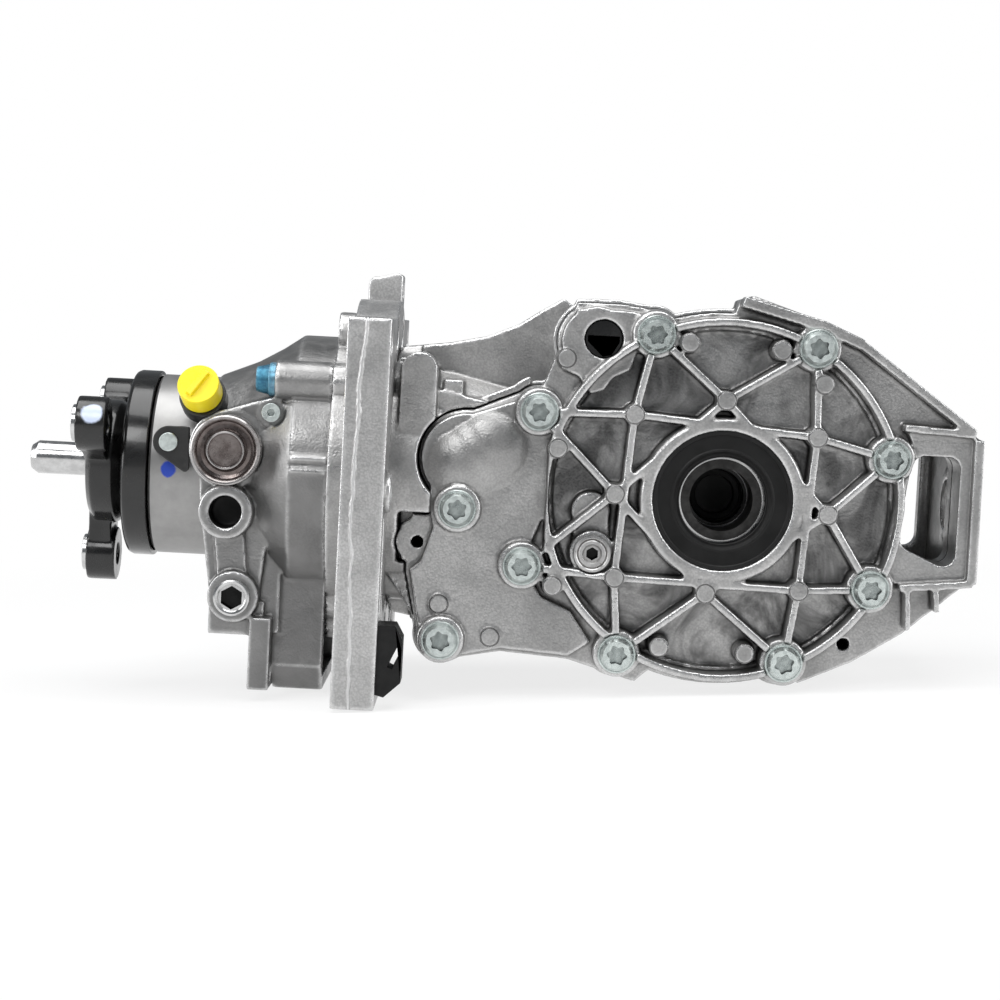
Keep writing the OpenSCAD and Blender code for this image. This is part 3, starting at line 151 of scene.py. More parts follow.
def shaderGroup(name, numbers, results):
    # takes a vector and some numbers, gives numbers
    tree = bpy.data.node_groups.new(name, "ShaderNodeTree")
    tree.interface.new_socket("Vector", in_out="INPUT", socket_type="NodeSocketVector")
    for label, value in numbers.items():
        tree.interface.new_socket(label, in_out="INPUT", socket_type="NodeSocketFloat").default_value = value
    for label in results:
        tree.interface.new_socket(label, in_out="OUTPUT", socket_type="NodeSocketFloat")
    helper = Tree(tree)
    return tree, helper, helper.node("NodeGroupInput").outputs, helper.node("NodeGroupOutput").inputs


def makeCastGrain():
    # skin of a blasted casting: fine pits, soft flow marks and wide cloudy tones
    numbers = {"Pit Scale": 900.0, "Cloud Scale": 28.0}
    tree, t, given, out = shaderGroup("castGrain", numbers, ["Pits", "Flow", "Clouds"])
    fine = t.noise(given["Vector"], given["Pit Scale"], 2.0, 0.6)
    dots = t.cells(given["Vector"], t.times(given["Pit Scale"], 0.8))
    t.feed(out["Pits"], t.plus(t.times(fine, 0.6), t.times(dots, 0.5)))
    t.feed(out["Flow"], t.noise(given["Vector"], t.times(given["Cloud Scale"], 5.0), 3.0, 0.5, 0.6))
    t.feed(out["Clouds"], t.noise(given["Vector"], given["Cloud Scale"], 3.0, 0.5, 0.3))
    return tree


def makeRubbedEdgesShadedCorners():
    # bright rubbed edges, and painted shade with some dirt in inner corners, from the edge and corner attribute of a
    # piece
    numbers = {"Edge": 0.25, "Corner": 0.2, "Breakup Scale": 160.0}
    tree, t, given, out = shaderGroup("rubbedEdgesShadedCorners", numbers, ["Edges", "Corners"])
    wearAndShade = t.node("ShaderNodeAttribute", attribute_name="wearAndShade").outputs["Fac"]
    patchy = t.between(t.noise(given["Vector"], given["Breakup Scale"], 3.0, 0.6), 0.32, 0.62)
    edge = t.between(wearAndShade, 0.0, given["Edge"])
    corner = t.between(t.times(wearAndShade, -1.0), 0.0, given["Corner"])
    t.feed(out["Edges"], t.times(edge, t.plus(t.times(patchy, 0.5), 0.5)))
    t.feed(out["Corners"], corner)
    return tree


def makeDust():
    # thin dust and finger marks
    tree, t, given, out = shaderGroup("dust", {"Scale": 60.0}, ["Dust", "Smears"])
    specks = t.noise(given["Vector"], given["Scale"], 5.0, 0.7)
    wiped = t.noise(given["Vector"], t.times(given["Scale"], 0.35), 2.0, 0.5, 2.0)
    t.feed(out["Dust"], t.between(specks, 0.5, 0.75))
    t.feed(out["Smears"], t.between(wiped, 0.4, 0.7))
    return tree


def makeTurnedLines():
    # fine tool marks left on a turned piece, at stations along its axis
    tree, t, given, out = shaderGroup("turnedLines", {"Pitch": 1800.0}, ["Lines"])
    parts = t.node("ShaderNodeSeparateXYZ")
    t.feed(parts.inputs[0], given["Vector"])
    along = t.node("ShaderNodeCombineXYZ")
    t.feed(along.inputs["X"], parts.outputs["X"])
    t.feed(out["Lines"], t.noise(along.outputs[0], given["Pitch"], 4.0, 0.7))
    return tree


castGrain = makeCastGrain()
rubbedEdgesShadedCorners = makeRubbedEdgesShadedCorners()
dust = makeDust()
turnedLines = makeTurnedLines()


def newMaterial(name):
    material = bpy.data.materials.new(name)
    material.use_nodes = True
    material.node_tree.nodes.clear()
    t = Tree(material.node_tree)
    shader = t.node("ShaderNodeBsdfPrincipled")
    output = t.node("ShaderNodeOutputMaterial")
    t.links.new(shader.outputs[0], output.inputs["Surface"])
    return material, t, shader.inputs


def addBump(t, sockets, height, distance):
    bump = t.node("ShaderNodeBump")
    bump.inputs["Distance"].default_value = distance
    bump.inputs["Strength"].default_value = 1.0
    t.feed(bump.inputs["Height"], height)
    t.links.new(bump.outputs["Normal"], sockets["Normal"])


def castMaterial(name, look):
    material, t, sockets = newMaterial(name)
    where = t.placed()
    grain = t.group(castGrain, **{"Vector": where, "Pit Scale": look["pits"], "Cloud Scale": look["clouds"]})
    rubAndShade = t.group(rubbedEdgesShadedCorners, **{"Vector": where, "Edge": look["edge"], "Corner": look["corner"]})
    settled = t.group(dust, Vector=where, Scale=look["dustScale"])
    tone = t.blend(t.between(grain["Clouds"], 0.3, 0.7), look["dark"], look["light"])
    tone = t.blend(t.times(settled["Smears"], look["smearShare"]), tone, look["dark"])
    parts = t.node("ShaderNodeSeparateXYZ")
    t.feed(parts.inputs[0], where)
    if "floor" in look:  # painted shade on the floors of the cover's pockets round the output axis, darker with depth and in patches
        floor = look["floor"]
        within = t.between(t.reach(parts, [outputAxle]), floor["reach"][0], floor["reach"][1], 1.0, 0.0)
        deep = t.times(t.between(parts.outputs["Y"], *floor["y"]), within)
        blotch = t.between(t.noise(where, floor["blotches"], 4.0, 0.6, 1.2), 0.38, 0.62)
        bottom = t.blend(blotch, floor["dark"], floor["light"])
        tone = t.blend(t.times(deep, floor["share"]), tone, bottom)
    if "shade" in look:  # painted shade over one part of the piece
        shade = look["shade"]
        across = t.between(parts.outputs["X"], *shade["x"])
        shadeArea = t.times(across, t.between(parts.outputs["Z"], *shade["z"]))
        tone = t.blend(t.times(shadeArea, shade["share"]), tone, look["cornerTone"])
    speck = t.between(grain["Pits"], 0.42, 0.7)
    tone = t.blend(t.times(speck, look["speckShare"]), tone, look["speck"])
    # painted shade, with some dirt, darkens the inner corners
    tone = t.blend(t.times(rubAndShade["Corners"], look["cornerShare"]), tone, look["cornerTone"])
    tone = t.blend(t.times(rubAndShade["Edges"], look["edgeShare"]), tone, look["bright"])
    height = t.plus(t.times(grain["Pits"], 0.7), t.times(grain["Flow"], 1.4))
    if "pins" in look:  # witness rings of the ejector pins, a dark line of painted shade round each raised pad with a dent in the bump
        pins = look["pins"]
        near = t.between(parts.outputs["Y"], *pins["y"])
        ring = t.times(t.ring(t.reach(parts, pins["spots"]), pinRadius), near)
        tone = t.blend(t.times(ring, 0.7), tone, look["cornerTone"])
        height = t.math("SUBTRACT", height, t.times(ring, 4.0))
    if "seam" in look:  # parting line of the mould, wandering down the near face
        seam = look["seam"]
        wander = t.math("SUBTRACT", t.noise(where, 26.0, 3.0, 0.6), 0.5)
        wander = t.times(wander, seam["wander"])
        rise = t.math("ABSOLUTE", t.plus(parts.outputs["Z"], seam["waist"]))
        course = t.plus(t.times(rise, seam["lean"]), wander)
        off = t.math("SUBTRACT", parts.outputs["X"], t.plus(course, seam["x"]))
        line = t.between(t.math("ABSOLUTE", off), seam["width"][0], seam["width"][1], 1.0, 0.0)
        line = t.times(line, t.between(parts.outputs["Y"], *seam["y"]))
        tone = t.blend(t.times(line, 0.6), tone, look["bright"])
        height = t.plus(height, t.times(line, 5.0))
    t.feed(sockets["Base Color"], tone)
    rough = t.between(grain["Flow"], 0.25, 0.75, look["rough"][0], look["rough"][1])
    t.feed(sockets["Roughness"], t.math("SUBTRACT", rough, t.times(rubAndShade["Edges"], 0.12), True))
    sockets["Metallic"].default_value = look["metal"]
    sockets["IOR"].default_value = 1.6
    addBump(t, sockets, height, look["bump"])
    return material


def metalMaterial(name, look):
    material, t, sockets = newMaterial(name)
    where = t.placed()
    settled = t.group(dust, Vector=where, Scale=90.0)
    rubAndShade = t.group(rubbedEdgesShadedCorners, **{"Vector": where, "Edge": 0.3, "Corner": 0.25, "Breakup Scale": 300.0})
    mottled = t.noise(where, look.get("mottle", 220.0), 4.0, 0.6)
    tone = t.blend(t.between(mottled, 0.3, 0.7), look["dark"], look["light"])
    # painted shade, with some dirt, darkens the inner corners
    tone = t.blend(t.times(rubAndShade["Corners"], 0.55), tone, look["corner"])
    tone = t.blend(t.times(rubAndShade["Edges"], look.get("edgeShare", 0.5)), tone, look["bright"])
    if "mark" in look:  # a dab of paint from assembly
        dab = t.near(where, look["mark"]["centre"], look["mark"]["radius"])
        tone = t.blend(dab, tone, look["mark"]["tone"])
        t.feed(sockets["Metallic"], t.times(t.math("SUBTRACT", 1.0, dab), look["metal"]))
    height = t.noise(where, look.get("grainScale", 1500.0), 2.0, 0.5)
    if "grooveHighlights" in look:  # painted highlight rings round the output axle where fine turned steps catch light, with a bump for the steps
        parts = t.node("ShaderNodeSeparateXYZ")
        t.feed(parts.inputs[0], where)
        for radius in look["grooveHighlights"]:
            highlightRing = t.ring(t.reach(parts, [outputAxle]), radius)
            tone = t.blend(t.times(highlightRing, 0.7), tone, look["bright"])
            height = t.plus(height, t.times(highlightRing, 5.0))
    t.feed(sockets["Base Color"], tone)
    low, high = look["rough"]
    patches = t.plus(t.times(mottled, 0.6), t.times(settled["Smears"], 0.4))
    t.feed(sockets["Roughness"], t.between(patches, 0.2, 0.8, low, high))
    if "mark" not in look:
        sockets["Metallic"].default_value = look["metal"]
    if "pitch" in look:  # turned on a lathe
        lines = t.group(turnedLines, Vector=where, Pitch=look["pitch"])
        height = t.plus(t.times(height, 0.3), lines["Lines"])
    addBump(t, sockets, height, look["bump"])
    return material


def coatMaterial(name, look):
    # paint, rubber and moulded plastic
    material, t, sockets = newMaterial(name)
    where = t.placed()
    settled = t.group(dust, Vector=where, Scale=70.0)
    rubAndShade = t.group(rubbedEdgesShadedCorners, **{"Vector": where, "Edge": 0.4, "Corner": 0.3, "Breakup Scale": 240.0})
    cloud = t.noise(where, 90.0, 3.0, 0.5)
    tone = t.blend(t.between(cloud, 0.3, 0.7), look["dark"], look["light"])
    tone = t.blend(t.times(settled["Dust"], look["dust"]), tone, look["dustTone"])
    tone = t.blend(t.times(rubAndShade["Edges"], look["edgeShare"]), tone, look["bright"])
    if "mark" in look:
        dab = t.near(where, look["mark"]["centre"], look["mark"]["radius"])
        tone = t.blend(dab, tone, look["mark"]["tone"])
    t.feed(sockets["Base Color"], tone)
    low, high = look["rough"]
    patches = t.plus(t.times(cloud, 0.5), t.times(settled["Smears"], 0.5))
    t.feed(sockets["Roughness"], t.between(patches, 0.15, 0.85, low, high))
    sockets["Coat Weight"].default_value = look.get("coat", 0.0)
    sockets["Specular IOR Level"].default_value = look.get("specular", 0.5)
    sockets["Coat Roughness"].default_value = 0.08
    dimples = t.times(t.cells(where, look["grainScale"] * 0.6), 0.6)
    height = t.plus(t.noise(where, look["grainScale"], 2.0, 0.6), dimples)
    addBump(t, sockets, height, look["bump"])
    return material


def grey(value, warm=0.0):
    return (value * (1 + warm), value, value * (1 - warm), 1.0)


coverPins = [  # rib crossings, then single pins, from the CAD cover
    (0.3027, 0.0464), (0.2607, 0.0378), (0.2535, 0.0005), (0.2553, -0.0383), (0.2979, -0.0435), (0.341, -0.0401),
    (0.3525, -0.0041), (0.3457, 0.0315), (0.2843, 0.0722), (0.226, 0.0203), (0.2268, -0.0436), (0.2778, -0.0696),
    (0.3177, -0.0706), (0.3269, 0.0709), (0.3474, 0.0561), (0.1743, -0.0557), (0.199, -0.07), (0.2281, 0.062)]
pinRadius = 0.0043
castLook = {
    "pits": 1100.0, "clouds": 26.0, "dustScale": 55.0, "edge": 0.16, "corner": 0.24,
    "dark": grey(0.3, 0.01), "light": grey(0.54, 0.012), "smearShare": 0.25, "speck": grey(0.22), "speckShare": 0.34,
    "cornerTone": grey(0.05, 0.02), "cornerShare": 0.6, "bright": grey(0.8), "edgeShare": 0.55,
    "rough": (0.28, 0.48), "metal": 0.8, "bump": 0.00016}
caseLook = dict(castLook, pins={"spots": [(0.3722, 0.056), (0.38, -0.056)], "y": (-0.029, -0.03)})
coverLook = dict(
    castLook, dark=grey(0.32, 0.008), light=grey(0.54, 0.01), rough=(0.3, 0.44),
    # floor: painted shade on the pockets' floors, darker with depth and in patches
    floor={"dark": grey(0.055, 0.01), "light": grey(0.5, 0.01), "y": (-0.0605, -0.0525), "reach": (0.085, 0.089),
           "blotches": 30.0, "share": 0.85},
    pins={"spots": coverPins, "y": (-0.055, -0.056)},
    # shade: painted shade over the dome and the upper left plate, dimming the lamp's highlight there
    shade={"x": (0.222, 0.205), "z": (0.0, 0.015), "share": 0.3})
# darker copy of the cast finish as painted shade, where the frame shadows the coupling; its shade entry paints more
# shade beside the frame
couplingLook = dict(
    castLook, dark=grey(0.2, 0.008), light=grey(0.32, 0.01),
    shade={"x": (0.086, 0.099), "z": (0.022, -0.03), "share": 0.3})
frameLook = dict(
    castLook, dark=grey(0.42, 0.008), light=grey(0.62, 0.008), rough=(0.32, 0.46),
    seam={"x": 0.1335, "waist": 0.02, "lean": 0.035, "wander": 0.009, "width": (0.0003, 0.0011),
          "y": (-0.0745, -0.0755)})
castings = {"caseCast": caseLook, "coverCast": coverLook, "couplingCast": couplingLook, "frameCast": frameLook}
zincLook = {
    "dark": (0.46, 0.51, 0.5, 1), "light": (0.68, 0.74, 0.72, 1), "corner": (0.12, 0.14, 0.14, 1),
    "bright": (0.85, 0.9, 0.88, 1), "rough": (0.25, 0.45), "metal": 0.85, "bump": 0.00004, "mottle": 420.0}
blueLook = {
    "dark": (0.03, 0.14, 0.24, 1), "light": (0.09, 0.32, 0.46, 1), "corner": (0.02, 0.05, 0.08, 1),
    "bright": (0.5, 0.62, 0.66, 1), "rough": (0.3, 0.5), "metal": 0.6, "bump": 0.00004, "mottle": 420.0}
metals = {
    "noseTurned": {
        "dark": grey(0.29, 0.01), "light": grey(0.34, 0.012), "corner": grey(0.1), "bright": grey(0.7),
        "rough": (0.38, 0.46), "mottle": 90.0, "metal": 0.8, "bump": 0.00003, "pitch": 2600.0,
        "mark": {"centre": (0.0433, -0.0432, 0.0), "radius": 0.0042, "tone": (0.01, 0.05, 0.42, 1)}},
    "zincBolt": zincLook,
    # near-black copies of the bolt finishes: painted shade for the walls of the star recesses
    "zincBoltRecess": dict(
        zincLook, dark=(0.03, 0.035, 0.034, 1), light=(0.1, 0.115, 0.11, 1), corner=(0.02, 0.02, 0.02, 1),
        bright=(0.4, 0.45, 0.44, 1)),
    "blueBoltRecess": dict(
        blueLook, dark=(0.005, 0.02, 0.04, 1), light=(0.015, 0.06, 0.09, 1), corner=(0.005, 0.01, 0.02, 1),
        bright=(0.2, 0.3, 0.35, 1)),
    "blueBolt": blueLook,
    "groundSteel": {
        "dark": grey(0.5), "light": grey(0.64), "corner": grey(0.15), "bright": grey(0.85),
        "rough": (0.16, 0.3), "metal": 1.0, "bump": 0.00002, "pitch": 3200.0},
    "gearSteel": {
        "dark": grey(0.2, 0.02), "light": grey(0.32, 0.03), "corner": grey(0.07), "bright": grey(0.7),
        "rough": (0.2, 0.36), "metal": 1.0, "bump": 0.00003},
    "motorCan": {
        "dark": (0.15, 0.125, 0.118, 1), "light": (0.27, 0.24, 0.23, 1), "corner": (0.04, 0.02, 0.018, 1),
        "bright": grey(0.8), "rough": (0.2, 0.36), "metal": 0.95, "bump": 0.00003, "edgeShare": 0.8},
    "plugSteel": {
        "dark": grey(0.34, 0.01), "light": grey(0.5, 0.01), "corner": (0.07, 0.05, 0.04, 1), "bright": grey(0.8),
        "rough": (0.24, 0.4), "metal": 0.9, "bump": 0.00003},
    # oiled steel made near-black as painted shade, for parts deep in the bore and socket bottoms, with painted
    # highlight rings
    "oiledSteel": {
        "dark": grey(0.012), "light": grey(0.03), "corner": grey(0.004), "bright": grey(0.2), "rough": (0.16, 0.3),
        "metal": 0.9, "bump": 0.00003, "edgeShare": 0.7, "grooveHighlights": (0.0147, 0.0174)},
    # dark cast iron, darkened further as painted shade deep inside the case
    "castIronInShade": {
        "dark": grey(0.03, 0.02), "light": grey(0.06, 0.02), "corner": grey(0.01), "bright": grey(0.25),
        "rough": (0.3, 0.5), "metal": 0.8, "bump": 0.0001, "grainScale": 900.0},
}
glossLook = {
    "dark": grey(0.003), "light": grey(0.006), "dust": 0.08, "dustTone": grey(0.06), "edgeShare": 0.12,
    "bright": grey(0.06), "rough": (0.2, 0.34), "coat": 0.3, "grainScale": 260.0, "bump": 0.00006}
coats = {
    # near-black painted shade for the insides of bores and for the cups in the side gears' bores
    "boreBlack": {
        "dark": grey(0.008), "light": grey(0.016), "dust": 0.05, "dustTone": grey(0.03), "edgeShare": 0.1,
        "bright": grey(0.05), "rough": (0.4, 0.6), "specular": 0.2, "grainScale": 700.0, "bump": 0.00003},
    "lining": {
        "dark": (0.16, 0.11, 0.07, 1), "light": (0.24, 0.17, 0.11, 1), "dust": 0.2, "dustTone": (0.3, 0.26, 0.2, 1),
        "edgeShare": 0.3, "bright": (0.4, 0.32, 0.24, 1), "rough": (0.6, 0.8), "grainScale": 900.0, "bump": 0.00006},
    "blackGloss": glossLook,
    "flangePaint": dict(
        glossLook, mark={"centre": (0.008, -0.0545, 0.0255), "radius": 0.0058, "tone": (0.55, 0.62, 0.78, 1)}),
    "sealRubber": {
        "dark": grey(0.003), "light": grey(0.007), "dust": 0.06, "dustTone": grey(0.04), "edgeShare": 0.3,
        "bright": grey(0.07), "rough": (0.4, 0.55), "specular": 0.25, "grainScale": 700.0, "bump": 0.00003},
    "blackPlastic": {
        "dark": grey(0.012), "light": grey(0.022), "dust": 0.15, "dustTone": grey(0.12), "edgeShare": 0.3,
        "bright": grey(0.12), "rough": (0.35, 0.5), "grainScale": 1400.0, "bump": 0.00003},
    "sealant": {
        "dark": grey(0.01), "light": grey(0.02), "dust": 0.1, "dustTone": grey(0.08), "edgeShare": 0.1,
        "bright": grey(0.06), "rough": (0.4, 0.6), "grainScale": 300.0, "bump": 0.0001},
    "yellowCap": {
        "dark": (0.86, 0.66, 0.004, 1), "light": (0.94, 0.78, 0.008, 1), "dust": 0.12, "dustTone": (0.5, 0.38, 0.1, 1),
        "edgeShare": 0.35, "bright": (0.95, 0.8, 0.12, 1), "rough": (0.28, 0.42), "grainScale": 900.0,
        "bump": 0.00003},
}
materials = {}
for make, looks in ((castMaterial, castings), (metalMaterial, metals), (coatMaterial, coats)):
    for name, look in looks.items():
        materials[name] = make(name, look)
print("materials made:", len(materials))


# Mesh helpers


def dress(piece, material):
    piece.data.materials.clear()
    piece.data.materials.append(materials[material])


def newObject(name, mesh):
    piece = bpy.data.objects.new(name, mesh)
    scene.collection.objects.link(piece)
    return piece


def workPiece(name, work):
    mesh = bpy.data.meshes.new(name)
    work.to_mesh(mesh)
    work.free()
    return newObject(name, mesh)


def settle(piece):
    # turns the modifiers' result into the piece's own plain mesh
    graph = bpy.context.evaluated_depsgraph_get()
    mesh = bpy.data.meshes.new_from_object(piece.evaluated_get(graph))
    piece.modifiers.clear()
    old = piece.data
    piece.data = mesh
    bpy.data.meshes.remove(old)


def mergedCopy(name, node, planar=True):
    work = bmesh.new()
    work.from_mesh(nodes[node].data)
    bmesh.ops.remove_doubles(work, verts=work.verts, dist=weldDistance)
    bmesh.ops.dissolve_degenerate(work, edges=work.edges, dist=weldDistance / 2)
    if planar:
        bmesh.ops.dissolve_limit(work, angle_limit=math.radians(0.3), verts=work.verts, edges=work.edges)
    return workPiece(name, work)


wearAndShadeLimit = 0.5


def markWearAndShade(piece, reach, rounds):
    # edge and corner attribute: above 0 on outer edges for wear, below 0 in inner corners for painted shade, spread by
    # a few rounds
    mesh = piece.data
    count = len(mesh.vertices)
    points = np.empty(count * 3)
    mesh.vertices.foreach_get("co", points)
    points = points.reshape(-1, 3)
    normals = np.empty(count * 3)
    mesh.vertices.foreach_get("normal", normals)
    normals = normals.reshape(-1, 3)
    pairs = np.empty(len(mesh.edges) * 2, dtype=np.int64)
    mesh.edges.foreach_get("vertices", pairs)
    first, second = pairs.reshape(-1, 2).T
    step = points[second] - points[first]
    length = np.linalg.norm(step, axis=1) + 1e-9
    bend = np.bincount(first, -(normals[first] * step).sum(1) / length, count)
    bend += np.bincount(second, (normals[second] * step).sum(1) / length, count)
    degree = np.maximum(np.bincount(first, minlength=count) + np.bincount(second, minlength=count), 1)
    value = bend / degree
    for _ in range(rounds):
        around = np.bincount(first, value[second], count) + np.bincount(second, value[first], count)
        value = (value + around / degree) / 2
    layer = mesh.attributes.new("wearAndShade", "FLOAT", "POINT")
    layer.data.foreach_set("value", np.clip(value * reach, -wearAndShadeLimit, wearAndShadeLimit).astype(np.float32))


def triangles(mesh):
    return sum(len(face.vertices) - 2 for face in mesh.polygons)


rodCorners, discCorners = 40, 36


def addForms(work, forms):
    # rods and hulled slabs in millimetres, fused into a casting by its voxel skin
    for kind, *size in forms:
        if kind == "rod":  # from one point to another
            start, end, radius = Vector(size[0]) / 1000, Vector(size[1]) / 1000, size[2] / 1000
            turn = (end - start).to_track_quat("Z", "Y").to_matrix().to_4x4()
            place = Matrix.Translation((start + end) / 2) @ turn
            bmesh.ops.create_cone(work, cap_ends=True, segments=rodCorners, radius1=radius, radius2=radius,
                                  depth=(end - start).length, matrix=place)
        else:  # slab between two y levels round a row of discs
            near, far, discs = size
            verts = []
            for x, z, radius in discs:
                for k in range(discCorners):
                    a = math.tau * k / discCorners
                    for y in (near, far):
                        spot = (x + radius * math.cos(a), y, z + radius * math.sin(a))
                        verts.append(work.verts.new(Vector(spot) / 1000))
            hull = bmesh.ops.convex_hull(work, input=verts)
            loose = [v for v in hull["geom_interior"] if isinstance(v, bmesh.types.BMVert)]
            bmesh.ops.delete(work, geom=loose, context="VERTS")


boreDepth = 30  # how far a blind bore is blackened, in millimetres


def castPiece(name, node, body, material, look):
    # a casting: the CAD solid with every edge and corner softened
    piece = mergedCopy(name, node, planar=False)
    if "forms" in look:
        work = bmesh.new()
        work.from_mesh(piece.data)
        addForms(work, look["forms"])
        work.to_mesh(piece.data)
        work.free()
    skin = piece.modifiers.new("skin", "REMESH")
    skin.mode = "VOXEL"
    skin.voxel_size = look["voxel"] * 1.0
    skin.use_smooth_shade = True
    soft = piece.modifiers.new("soft", "SMOOTH")
    soft.factor = 0.5
    soft.iterations = look["smooth"]
    settle(piece)
    markWearAndShade(piece, look["wearAndShade"], 2)
    share = look["triangles"] / triangles(piece.data)
    if share < 1:
        thin = piece.modifiers.new("thin", "DECIMATE")
        thin.ratio = share
    weigh = piece.modifiers.new("weigh", "WEIGHTED_NORMAL")
    weigh.weight = 80
    settle(piece)
    dress(piece, material)
    if "bores" in look:  # blind bores go black inside as painted shade
        piece.data.materials.append(materials["boreBlack"])
        for face in piece.data.polygons:
            x, y, z = face.center * 1000
            for (boreX, boreZ), radius, mouth in look["bores"]:
                if mouth < y < mouth + boreDepth and math.hypot(x - boreX, z - boreZ) < radius:
                    face.material_index = 1
    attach(piece, body)
    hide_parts(node)
    print("cast piece", name, triangles(piece.data))


lathe = {"corners": 96, "sharp": math.radians(24), "mouth": 4, "socketDepth": 8}


def lathePiece(name, body, material, look):
    # a turned piece round the Y axis through look["spot"], from (radius, y) pairs in millimetres
    work = bmesh.new()
    count = lathe["corners"]
    middleX, middleZ = look["spot"]
    rings = []
    for radius, y in look["profile"]:
        row = []
        for k in range(count if radius > 0 else 1):
            a = math.tau * k / count
            spot = (middleX + radius * math.cos(a), y, middleZ + radius * math.sin(a))
            row.append(work.verts.new(Vector(spot) / 1000))
        rings.append(row)
    following = rings[1:] + (rings[:1] if look.get("loop") else [])
    for one, two in zip(rings, following):
        for k in range(count):
            corners = [one[k % len(one)], one[(k + 1) % len(one)], two[(k + 1) % len(two)], two[k % len(two)]]
            corners = [v for i, v in enumerate(corners) if v not in corners[:i]]
            if len(corners) > 2:
                work.faces.new(corners)
    bmesh.ops.recalc_face_normals(work, faces=work.faces)
    piece = workPiece(name, work)
    if "hex" in look:  # hexagon socket from the face inward
        radius, face, depth = look["hex"]
        work = bmesh.new()
        middle = Vector((middleX, face + (depth - lathe["mouth"]) / 2, middleZ)) / 1000
        place = Matrix.Translation(middle) @ Matrix.Rotation(math.pi / 2, 4, "X")
        bmesh.ops.create_cone(work, cap_ends=True, segments=6, radius1=radius / 1000, radius2=radius / 1000,
                              depth=(depth + lathe["mouth"]) / 1000, matrix=place)
        cutter = workPiece(name + "Socket", work)
        cut = piece.modifiers.new("socket", "BOOLEAN")
        cut.object = cutter
        cut.solver = "EXACT"
        settle(piece)
        bpy.data.objects.remove(cutter)
    piece.data.shade_smooth()
    piece.data.set_sharp_from_angle(angle=lathe["sharp"])
    markWearAndShade(piece, look.get("wearAndShade", 0.7), 0)
    dress(piece, material)
    if "dark" in look:  # unlit bottom of a socket
        reach, level = look["dark"]
        piece.data.materials.append(materials["oiledSteel"])
        for face in piece.data.polygons:
            x, y, z = face.center * 1000
            inside = math.hypot(x - middleX, z - middleZ) < reach
            if inside and level < y < level + lathe["socketDepth"]:
                face.material_index = 1
    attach(piece, body)
    if "node" in look:
        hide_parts(look["node"])


brokenEdges = {"segments": 2, "angle": math.radians(28), "sharp": math.radians(38), "weight": 70, "wearAndShade": 0.8}


def bevelPiece(name, node, body, material, slotName, width):
    # a machined or moulded piece: the CAD solid with fine broken edges
    piece = mergedCopy(name, node)
    bevel = piece.modifiers.new("broken edges", "BEVEL")
    bevel.width = width
    bevel.segments = brokenEdges["segments"]
    bevel.limit_method = "ANGLE"
    bevel.angle_limit = brokenEdges["angle"]
    settle(piece)
    piece.data.shade_smooth()
    piece.data.set_sharp_from_angle(angle=brokenEdges["sharp"])
    weigh = piece.modifiers.new("weigh", "WEIGHTED_NORMAL")
    weigh.weight = brokenEdges["weight"]
    weigh.keep_sharp = True
    settle(piece)
    markWearAndShade(piece, brokenEdges["wearAndShade"], 0)
    dress(piece, material)
    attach(piece, body)
    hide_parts(node)


# Castings

casting = {"voxel": 0.0008, "smooth": 4, "wearAndShade": 1.6, "triangles": 190000, "slot": "cast_aluminium"}
coverForms = [
    ("rod", (174.3, -57.8, -55.7), (174.3, -52, -55.7), 4.6),
    ("rod", (199, -57.8, -70.0), (199, -52, -70.0), 4.6),
    ("rod", (228.1, -57.7, 62), (228.1, -52, 62), 4.4),
]
couplingForms = [
    ("rod", (103, -65.0, 9.4), (119.5, -65.0, 9.4), 1.6),
    ("rod", (103, -65.2, 3.6), (119.5, -65.2, 3.6), 1.6),
    ("slab", -53.4, -46, [(72.3, 11.4, 18.3), (91.9, 29.6, 6.8)]),
    ("slab", -50, -40, [(73.1, -17.5, 13), (77.7, -57.5, 11.6), (90, -20, 3)]),
]
castPiece("sideCover", "side_cover", "housing", "coverCast", dict(casting, forms=coverForms, bores=[
    ((244.9, 71.9), 9.6, -56), ((162.7, -27.5), 3.0, -56), ((365, -65.3), 3.0, -56)]))
castPiece("mainCase", "main_case", "housing", "caseCast", dict(casting, bores=[
    ((162.7, -27.5), 3.0, -45), ((365, -65.3), 3.0, -45)]))
castPiece("couplingCase", "coupling_case", "housing", "couplingCast",
          dict(casting, forms=couplingForms, bores=[((73.1, -17.5), 8.1, -60.8)]))
castPiece("mountingFrame", "mounting_frame", "housing", "frameCast", casting)
castPiece("inputFlange", "input_flange", "input", "flangePaint",
          dict(casting, voxel=0.0007, smooth=8, triangles=80000, slot="black_paint"))

# Turned pieces with more steps than the CAD solid shows

lathePiece("pumpMotor", "housing", "motorCan", {
    "spot": (72.3, 11.4), "node": "pump_motor", "slot": "motor_can", "wearAndShade": 0.9, "profile": [
        (0, -54.1), (16.4, -54.1), (16.4, -64.2), (16.2, -64.9), (15.6, -65.35), (14.9, -65.3), (14.2, -64.8),
        (13.3, -63.6), (11.8, -62.9), (10.2, -63.1), (9.3, -63.9), (9.0, -65.5), (8.8, -65.85), (8.4, -65.95),
        (8.0, -65.85), (7.8, -65.5), (7.0, -65.45), (0, -65.55)]})
lathePiece("fillPlug", "housing", "plugSteel", {
    "spot": (244.5, -27.8), "node": "fill_plug", "slot": "zinc_steel",
    "hex": (3.1, -64.6, 6), "dark": (3.3, -63.6), "profile": [
        (0, -46.5), (6.2, -46.5), (6.2, -61), (8.95, -61), (8.95, -64.3), (8.5, -64.9), (7.5, -65), (7.0, -64.6),
        (6.8, -63.9), (6.5, -63.9), (6.3, -64.7), (5.9, -64.95), (4.6, -64.95), (4.2, -64.5), (3.9, -64.1),
        (0, -64.1)]})
